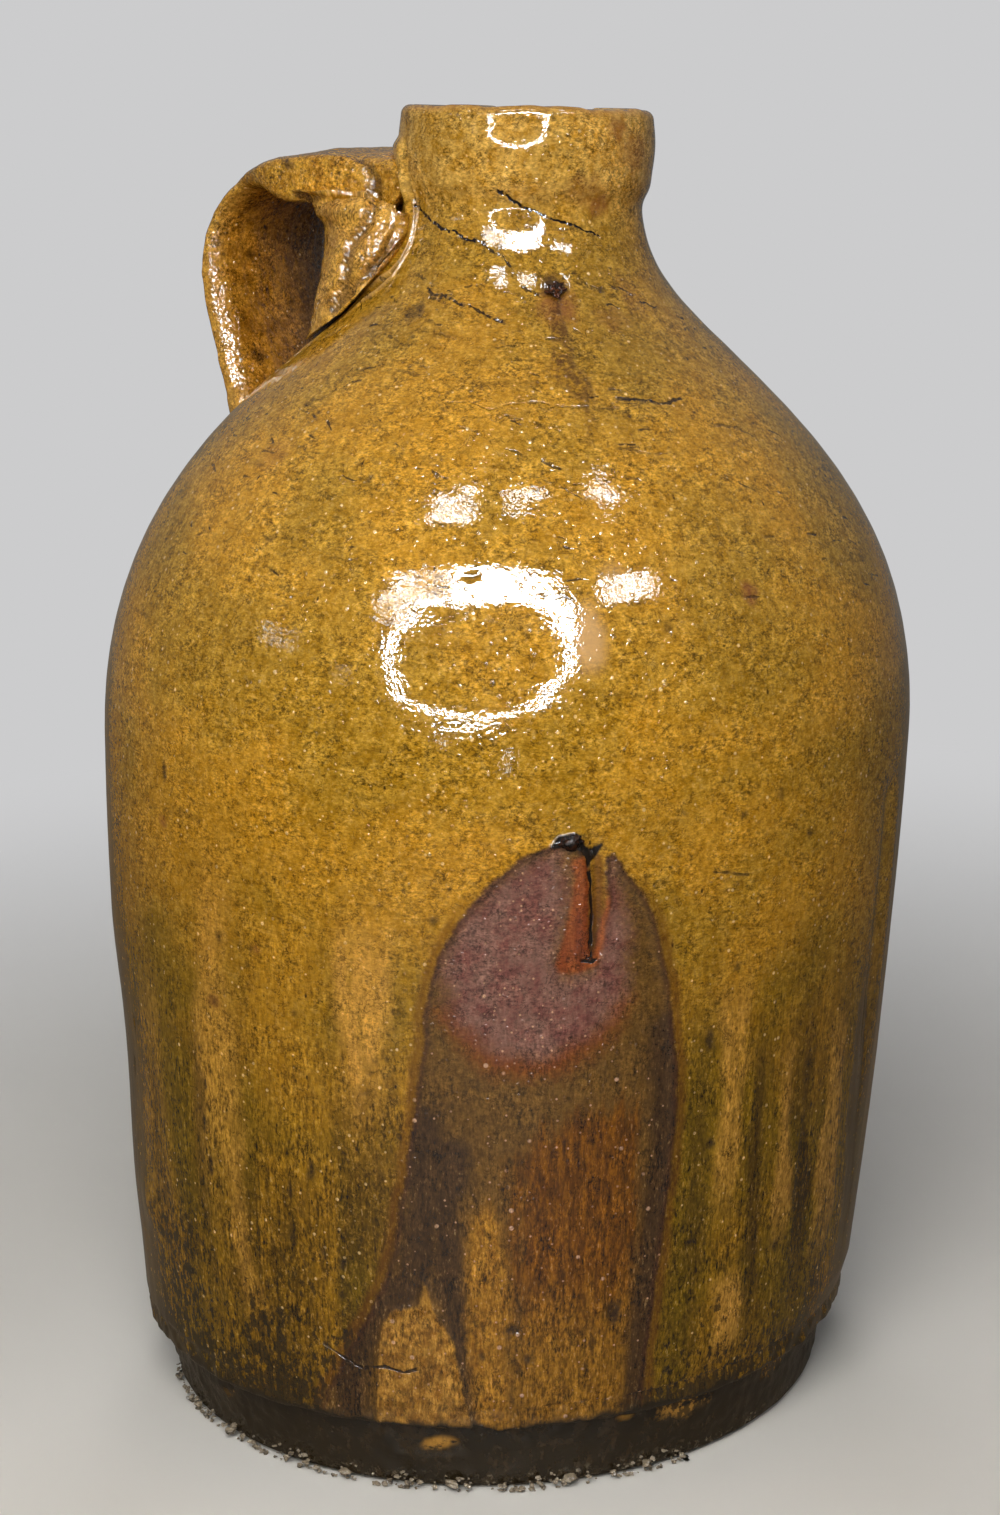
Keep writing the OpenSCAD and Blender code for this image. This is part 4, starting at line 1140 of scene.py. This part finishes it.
def patch_glaze(n, place, h, fine, wisp, threads):
    """The dark patch, with the red, mauve, amber, dark, oval, dome and orange areas in it."""
    tone = n.blended(fine, 0.3, 0.7, (88, 60, 18), (110, 78, 28))
    tone = n.over(tone, (n.times(n.outlined("red", 3.4, (fine, 3)), 0.8), (120, 58, 14)))
    mauve = n.blended(n.noise(place, 4.4, 5, 0.7), 0.36, 0.64, (112, 66, 58), (126, 90, 78))
    tone = n.mix(n.outlined("mauve", 3.2, (fine, 3)), tone, mauve)
    amber = n.mix(n.ramp(n.add(h, n.times(wisp, 16)), 66, 40),
                  n.blended(threads, 0.38, 0.64, (84, 46, 2), (126, 76, 4)),
                  n.blended(n.add(threads, n.times(fine, 0.4)), 0.5, 0.85, (94, 60, 6), (152, 106, 24)))
    tone = n.mix(n.outlined("amber", 3.4, (fine, 2), (wisp, 13)), tone, amber)
    dark = n.times(n.ramp(n.attribute("dark"), 0.05, 0.95), 0.9)
    tone = n.mix(dark, tone, n.blended(wisp, 0.3, 0.7, (50, 31, 15), (68, 46, 24)))
    tone = n.over(tone, (n.times(n.ramp(n.away(n.attribute("patch"), -0.5), 1.3, 0.2), 0.6), (60, 33, 20)))
    oval = n.blended(n.add(fine, threads), 0.7, 1.25, (116, 74, 12), (170, 120, 32))
    tone = n.mix(n.outlined("oval", 1.8, (fine, 3)), tone, oval)
    dome = n.blended(n.noise(place, 2.4, 4, 0.68), 0.35, 0.65, (126, 84, 22), (176, 128, 48))
    tone = n.mix(n.outlined("dome", 0.5, (fine, 1.2)), tone, dome)
    crumbs = speckles(n, place, 1.5, n.ramp(n.attribute("mauve"), 3, -3, 0.22, 0.5), 0.2)
    tone = n.over(tone, (n.times(crumbs, 0.7), (200, 154, 118)),
                  (n.times(speckles(n, place, 3.1, 0.16, 0.2), 0.85), (206, 164, 128)))
    orange = n.blended(wisp, 0.35, 0.65, (116, 52, 18), (150, 80, 34))
    return n.mix(n.outlined("orange", 0.7, (fine, 0.8)), tone, orange)


def foot_glaze(n, place, h):
    """The dark foot, with a few places where the honey glaze ran over it and ash at its lowest edge."""
    foot = n.blended(n.noise(place, 5, 5, 0.7), 0.35, 0.7, (30, 24, 14), (60, 46, 28))
    ran = n.ramp(n.noise(n.stretched(place, (0.5, 0.5, 1)), 2.6, 4, 0.7), 0.38, 0.5)
    ash = n.times(n.ramp(n.noise(place, 1.4, 4, 0.75), 0.5, 0.66), n.ramp(h, 5.5, 0.5))
    return n.over(n.marked(foot, ("yellow", ran, (190, 138, 52))), (ash, (150, 138, 116)))


def singed(n, colour, flow, place, h, patch):
    """A colour singed above the foot, most of all at the left."""
    leftward = n.node("VectorMath", {0: flow, 1: (-0.0029, -0.0107, 0)}, "Value", operation="DOT_PRODUCT")
    singe = n.noise(n.stretched(place, (1, 1, 0.5)), 1.5, 4, 0.7)
    for more in (n.ramp(n.noise(place, 17, 3, 0.5), 0.35, 0.65, -0.07, 0.05),
                 n.ramp(leftward, 0.7, 0.97, 0, 0.07),
                 n.add(n.ramp(h, 42, 24, 0, 0.06), n.ramp(h, 27, 18, 0, 0.12))):
        singe = n.add(singe, more)
    there = n.times(n.ramp(h, 66, 38, 0, 0.85), n.ramp(patch, 0, 1, 1, 0.25))
    return n.over(colour, (n.times(n.ramp(singe, 0.6, 0.66), there), (40, 31, 16)))


def jug_material():
    n = material_nodes("honey ash glaze")
    flow, place, low = n.attribute("flow", "Vector"), n.attribute("place", "Vector"), n.attribute("low")
    h = n.node("SeparateXYZ", {0: flow}, 2)
    colour, fine, mottle = glaze_base(n, flow, place, low, h)
    wisp = n.noise(n.stretched(flow, (1, 1, 0.12)), 2.2, 3, 0.6)
    threads = n.noise(n.stretched(flow, (1, 1, 0.2)), 1.1, 4, 0.7)
    streaky = n.add(wisp, n.times(fine, 0.5))
    colour = n.marked(colour, ("tan", n.ramp(streaky, 0.35, 0.85, 0.3, 0.8), (200, 147, 60)),
                      ("dusk", n.ramp(streaky, 0.4, 0.9, 0.45, 0.95), (64, 43, 8)))
    # The patch, with a gap of amber beside its slit and a dark line round it
    gap = n.blended(n.add(h, n.times(wisp, 10)), 130, 144, (74, 46, 20), (120, 80, 18))
    colour = n.mix(n.outlined("amber_gap", 0.9, (fine, 1.4)), colour, gap)
    patch, tone = n.outlined("patch", 0.6, (fine, 1.4)), patch_glaze(n, place, h, fine, wisp, threads)
    colour = n.mix(patch, grained(n, colour, place, 1, low, flow), grained(n, tone, place, 0.95, low, flow))
    halo = n.times(n.ramp(n.away(n.attribute("patch"), 0.9), 1.9, 0.1), 0.6)
    colour = n.over(colour, (n.times(halo, n.ramp(low, 0.05, 0.3)), (98, 56, 12)))
    # Smudges, runs, pits and cracks
    colour = n.marked(colour, ("red_smudge", n.ramp(fine, 0.3, 0.6, 0.4, 0.9), (124, 64, 40)),
                      ("peach", 0.85, (206, 164, 112)),
                      ("run", n.ramp(n.add(fine, mottle), 0.84, 1.1, 0.04, 0.95), (84, 50, 14)),
                      ("spot", n.ramp(fine, 0.3, 0.55, 0.45, 1), (36, 25, 16)),
                      # The seam's bead is painted pale as a highlight, and the groove beside it dark as shade
                      ("seam", 0.7, (186, 146, 86)),
                      ("seam_groove_shade", 0.7, (58, 36, 12)),
                      ("rim", n.ramp(fine, 0.3, 0.6, 0.2, 0.6), (160, 109, 52)))
    thick = n.add(n.maths("ABSOLUTE", n.attribute("ink_across")), n.times(n.add(fine, -0.5), 0.9))
    ink = n.times(n.ramp(thick, 1.2, 0.7), n.attribute("ink"))
    colour = n.over(colour, (n.outlined("burnt", 0.35, (fine, 0.8)), (14, 11, 8)), (ink, (24, 15, 8)))
    # The foot, the inside and the bare base
    colour = n.mix(n.attribute("foot"), colour, foot_glaze(n, place, h))
    colour = singed(n, colour, flow, place, h, patch)
    colour = n.mix(n.attribute("inside"), colour, n.blended(fine, 0.3, 0.7, (96, 60, 24), (128, 84, 38)))
    bare = n.blended(n.noise(place, 4, 5, 0.7), 0.35, 0.65, (126, 104, 78), (168, 144, 110))
    colour = n.mix(n.attribute("base"), colour, bare)
    roughness = n.add(n.ramp(fine, 0.35, 0.7, 0.02, 0.07), n.times(n.attribute("base"), 0.6))
    roughness = n.add(roughness, n.times(patch, n.ramp(fine, 0.3, 0.7, 0.08, 0.16)))
    rough_foot = n.times(n.attribute("foot"), n.times(n.noise(place, 1.1, 3, 0.6), 1.5))
    height = n.add(n.add(glaze_height(n, place), rough_foot), n.times(ink, -2.5))
    return n.finish(colour, roughness, height, 0.0001)


def clay_material(name, warm, shade):
    """The glaze on the handle and its wads, which is thinner and more uneven than the jug's."""
    n = material_nodes(name)
    flow = n.attribute("flow", "Vector")
    mottle = n.noise(flow, 4.2, 5, 0.72)
    fine = n.noise(flow, 1.2, 4, 0.7)
    patchy = n.noise(flow, 12, 3, 0.55)
    colour = n.over(n.blended(mottle, 0.34, 0.66, (156, 107, 20), warm),
                    (n.ramp(patchy, 0.48, 0.68, 0, 0.5), (134, 88, 14)),
                    (n.ramp(fine, 0.52, 0.68, 0, 0.7), (214, 168, 88)),
                    (n.ramp(fine, 0.46, 0.32, 0, 0.6), (96, 58, 10)))
    # The inner face is painted darker, by the share given as shade, as shade inside the loop
    inner = n.blended(mottle, 0.35, 0.65, (110, 68, 14), (162, 108, 30))
    colour = n.mix(n.times(n.attribute("inner"), shade), colour, inner)
    # The far half of the inner face is painted dark as shade; the dark and pale speckles are the glaze's own
    colour = n.over(n.marked(colour, ("deep", 0.65, (46, 33, 22))),
                    (n.times(speckles(n, flow, 2.8, 0.2, 0.22), 0.8), (44, 28, 12)),
                    (n.times(speckles(n, flow, 2.3, 0.25, 0.16), 0.7), (222, 190, 134)))
    # Folds are painted dark as shade in them; the strap's dark spots share their mask
    colour = n.marked(colour, ("crease", n.ramp(fine, 0.25, 0.6, 0.5, 0.85), (62, 38, 14)),
                      # Edges and ridges are painted paler, partly as thinner glaze and partly as a painted
                      # highlight
                      ("thin_edge_and_highlight", 0.25, (206, 158, 84)))
    waves = n.add(n.times(n.noise(flow, 1.8, 1, 0.5), 1.5), n.times(n.noise(flow, 0.9, 0, 0.5), 1.4))
    height = n.add(glaze_height(n, flow), waves)
    return n.finish(grained(n, colour, flow), n.ramp(fine, 0.3, 0.75, 0.03, 0.1), height, 0.00014)


def slag_material(name, deep, light):
    n = material_nodes(name)
    lumps = n.noise(n.attribute("flow", "Vector"), 1.1, 4, 0.7)
    n.shader.inputs["Specular IOR Level"].default_value = 0.12
    colour = n.blended(lumps, 0.46, 0.66, deep, light)
    return n.finish(colour, n.ramp(lumps, 0.3, 0.7, 0.3, 0.16), lumps, 0.00015)


def grit_material():
    n = material_nodes("kiln grit")
    tone = n.noise(n.attribute("flow", "Vector"), 1.6, 4, 0.7)
    colour = n.blended(tone, 0.36, 0.5, (58, 48, 36), (128, 114, 92))
    colour = n.over(colour, (n.ramp(tone, 0.58, 0.68), (184, 174, 154)))
    return n.finish(colour, n.ramp(tone, 0.3, 0.7, 0.3, 0.7), tone, 0.0002)


for piece, node, slot, material in (
        (jug, "jug_body", "body_glaze", jug_material()),
        (strap, "strap_handle", "handle_glaze", clay_material("handle glaze", (198, 150, 50), 0.8)),
        (root_wad, "root_wad", "wad_glaze", clay_material("wad glaze", (200, 152, 54), 0.4)),
        (tail_wad, "tail_wad", "wad_glaze", clay_material("tongue glaze", (206, 158, 56), 0.4)),
        (slag, "kiln_drips", "slag", slag_material("black slag", (15, 11, 8), (60, 32, 16))),
        (drip, "kiln_drips", "slag", slag_material("burnt crust", (32, 20, 12), (96, 52, 28))),
        (grit, "foot_grit", "grit", grit_material())):
    piece.data.materials.append(material)
    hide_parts(node)
    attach(piece, "root")


# Camera: found by fitting the outline, in the upright jug's frame turned by LEAN_ANGLE
PITCH, ROLL = math.radians(13.34), math.radians(1.41)
EYE_AT, FOCAL_PIXELS, PHOTO_PIXELS_HIGH = (-1.74, -580.3, 278.9), 2630, 1515
right, forward, up = (Vector(v) for v in ((1, 0, 0), (0, math.cos(PITCH), -math.sin(PITCH)),
                                          (0, math.sin(PITCH), math.cos(PITCH))))
rolled_right = math.cos(ROLL) * right + math.sin(ROLL) * up
rolled_up = math.cos(ROLL) * up - math.sin(ROLL) * right


def to_world(v, point=False):
    """A way, or a point in mm, of the upright jug's turned frame in the scene."""
    v = np.array(TURN @ Vector(v))
    return Vector(stand(v) if point else TILT @ v)


eye = to_world(EYE_AT, True) / 1000
axes = [to_world(v) for v in (rolled_right, rolled_up, -forward)]
cam = added("camera", bpy.data.cameras.new("camera"))
cam.matrix_world = Matrix([[*(axis[k] for axis in axes), eye[k]] for k in range(3)] + [[0, 0, 0, 1]])
cam.data.sensor_fit = "VERTICAL"
cam.data.sensor_height = 36
cam.data.lens = FOCAL_PIXELS / PHOTO_PIXELS_HIGH * 36
cam.data.clip_end = 50
bpy.context.scene.camera = cam


# Lamps are put where their reflection shows on the jug
def mirrored(az, h):
    """A place on the jug, in metres, by bearing and height, and the way that the camera's ray leaves it."""
    p = Vector(stand(sway(around(np.array(float(az)), h, shell_r(h))))) / 1000
    slope = (shell_r(h + 1.5) - shell_r(h - 1.5)) / 3
    normal = Vector(TILT @ around(np.array(float(az)), -slope, 1.0)).normalized()
    d = (p - eye).normalized()
    return p, (d - 2 * d.dot(normal) * normal).normalized()


def facing(way):
    """How a lamp is turned that stands that way from the jug and faces back to it."""
    return (-way).to_track_quat("Z", "Y").to_euler()


def glow(name, strength, holes=0, gaps=(0, 0)):
    """A lamp's material. With holes, it is a worn cloth with about that many across: where its noise is under
    the first of the gaps' values it is nearly dark, and over the second it is bright."""
    n = material_nodes(name)
    if holes:
        place = n.node("TexCoord", {}, "Generated")
        cloth = n.node("TexNoise", {"Vector": place, "Scale": holes, "Detail": 2}, "Fac")
        strength = n.node("MapRange", {"Value": cloth, "From Min": gaps[0], "From Max": gaps[1],
                                       "To Min": strength * 0.04, "To Max": strength}, "Result")
    light = n.node("Emission", {"Color": (1, 1, 1), "Strength": strength})
    n.put(n.tree.nodes["Material Output"].inputs[0], light)
    n.tree.nodes.remove(n.shader)
    return n.owner


def only_in_reflections(o):
    o.visible_camera = o.visible_diffuse = o.visible_shadow = o.visible_transmission = False


# The ring lamp stands where the jug mirrors it at these marks, as bearing and height: its middle, and then
# its left, right, top and bottom
RING_MIDDLE = (-56.1, 182)
RING_MARKS = ((-68.5, 180.4), (-44.2, 181.6), (-57, 191.6), (-55.7, 168.5))
RING_AWAY, PANEL_AWAY = 0.55, 1.4  # From the jug, in metres
origin, way = mirrored(*RING_MIDDLE)
ring_at = origin + way * RING_AWAY
edge = []
for mark in RING_MARKS:
    p, d = mirrored(*mark)
    edge.append(p + d * ((ring_at - p).dot(way) / d.dot(way)))
ring_at = sum(edge, Vector()) / 4
half_wide, half_tall = (edge[1] - edge[0]) / 2, (edge[2] - edge[3]) / 2
bpy.ops.mesh.primitive_torus_add(major_radius=1, minor_radius=0.023, major_segments=96,
                                 minor_segments=12, location=ring_at, rotation=facing(way))
ring = bpy.context.object
ring.name = "ring_lamp"
ring.scale = (half_wide.length, half_tall.length, half_wide.length)
ring.data.materials.append(glow("ring light", 125))
only_in_reflections(ring)

# Two sheets of light stand over the ring. Their corners are in its half widths and half heights
RING_SHEET = [
    (-0.24, 1.41), (0.25, 1.46), (0.76, 1.39), (0.95, 1.21), (1.06, 0.92), (1.09, 0.36), (0.93, 0.36),
    (0.85, 0.66), (0.66, 0.79), (0.25, 0.87), (-0.24, 0.76)]
PALE_SHEET = [
    (-1.12, 1.02), (-1.05, 1.3), (-0.88, 1.41), (-0.24, 1.44), (-0.29, 1.02), (-0.54, 0.82), (-0.93, 0.66),
    (-1.1, 0.77)]
for name, outline, strength, gaps in (
        ("ring_sheet", RING_SHEET, 110, (0.45, 0.5)),
        ("pale_sheet", PALE_SHEET, 52, (0.5, 0.64))):
    mesh = bpy.data.meshes.new(name)
    corners = [tuple(ring_at + half_wide * x + half_tall * y) for x, y in outline]
    mesh.from_pydata(corners, [], [list(range(len(corners)))])
    mesh.materials.append(glow(name, strength, holes=10, gaps=gaps))
    only_in_reflections(added(name, mesh))

# Panels, each as the mark on the jug that mirrors it, its size in metres and its strength
for name, mark, size, strength in (
        ("panel_right", (-36.0, 193.6), (0.36, 0.14), 80),
        ("panel_top_a", (-62.4, 207.4), (0.26, 0.13), 75),
        ("panel_top_b", (-60.2, 211.4), (0.15, 0.08), 75),
        ("panel_top_c", (-50.6, 210.5), (0.24, 0.13), 60),
        ("panel_top_d", (-38.0, 210.8), (0.14, 0.16), 60),
        ("panel_low_a", (-60.0, 165.1), (0.07, 0.04), 40),
        ("panel_low_b", (-51.3, 161.8), (0.035, 0.09), 40),
        ("panel_side", (-84.9, 182.4), (0.3, 0.04), 18),
        ("panel_side_b", (-74.3, 176.7), (0.1, 0.03), 10)):
    p, d = mirrored(*mark)
    bpy.ops.mesh.primitive_plane_add(size=1, location=p + d * PANEL_AWAY, rotation=facing(d))
    panel = bpy.context.object
    panel.name = name
    panel.scale = (*size, 1)
    panel.data.materials.append(glow(name, strength, holes=7, gaps=(0.53, 0.57)))
    only_in_reflections(panel)


def area(name, place, target, size, watts, tint=(1, 1, 1)):
    """A round soft lamp that doesn't show in reflections."""
    light = bpy.data.lights.new(name, "AREA")
    light.shape = "DISK"
    light.size = size
    light.energy = watts
    light.color = tint
    made = added(name, light)
    made.location = place
    made.rotation_euler = (Vector(target) - Vector(place)).to_track_quat("-Z", "Y").to_euler()
    made.visible_glossy = False


away = -Vector((axes[2].x, axes[2].y, 0))
area("key", ring_at + Vector((0, 0, 0.14)), origin + Vector((0, 0, 0.03)), 0.45, 4.75, (1, 0.97, 0.9))
area("fill_left", origin + axes[0] * -1.1 + Vector((0, 0, 0.5)), origin, 0.9, 0.6)
area("fill_right", origin + axes[0] * 1.1 + Vector((0, 0, 0.4)), origin, 0.9, 0.12)
area("back", origin + away * 0.9 + Vector((0, 0, 0.9)), origin, 0.4, 2.5)

# Floor, backdrop and surroundings
BACKDROP, SURROUNDINGS = srgb(204, 204, 205), (0.1, 0.1, 0.1)
GLOSSY_LOW, GLOSSY_HIGH = (0.15, 0.147, 0.14), (0.32, 0.325, 0.34)
bpy.ops.mesh.primitive_plane_add(size=12, location=(0, 0, 0))
floor = bpy.context.object
floor.name = "floor"
n = material_nodes("pale floor")
place = n.node("TexCoord", {}, "Object")
seen, in_gloss = (n.node("LightPath", {}, key) for key in ("Is Camera Ray", "Is Glossy Ray"))
tone = n.noise(place, 0.35, 4, 0.6)
pale = n.blended(tone, 0.3, 0.7, (212, 210, 206), (220, 218, 214))
n.finish(n.mix(seen, srgb(104, 92, 76), pale), 0.7, tone, 0.0002)
# Far from the jug, the floor runs into the backdrop for the camera and into the surroundings in reflections
far = n.node("VectorMath", {0: place}, "Value", operation="LENGTH")
share = n.add(n.times(n.ramp(far, 0.12, 0.62), seen), n.times(n.ramp(far, 0.15, 1.6), in_gloss))
haze = n.node("Emission", {"Color": n.mix(in_gloss, BACKDROP, GLOSSY_LOW)})
blend = n.node("MixShader", {0: share, 1: n.shader.outputs[0], 2: haze})
n.put(n.tree.nodes["Material Output"].inputs[0], blend)
floor.data.materials.append(n.owner)

# The world: the backdrop for the camera, and in reflections a room that is dark low down and paler above
world = bpy.data.worlds.new("studio")
bpy.context.scene.world = world
n = Nodes(world)
up_there = n.node("SeparateXYZ", {0: n.node("TexCoord", {}, "Generated")}, "Z")
rise = n.node("MapRange", {"Value": up_there, "From Min": 0.04, "From Max": 0.6}, "Result")
shade = n.mix(rise, GLOSSY_LOW, GLOSSY_HIGH)
shade = n.mix(n.node("LightPath", {}, "Is Glossy Ray"), SURROUNDINGS, shade)
shade = n.mix(n.node("LightPath", {}, "Is Camera Ray"), shade, BACKDROP)
back = n.tree.nodes["Background"]
n.put(back.inputs["Color"], shade)
back.inputs["Strength"].default_value = 1

bpy.context.scene.view_settings.view_transform = "Standard"
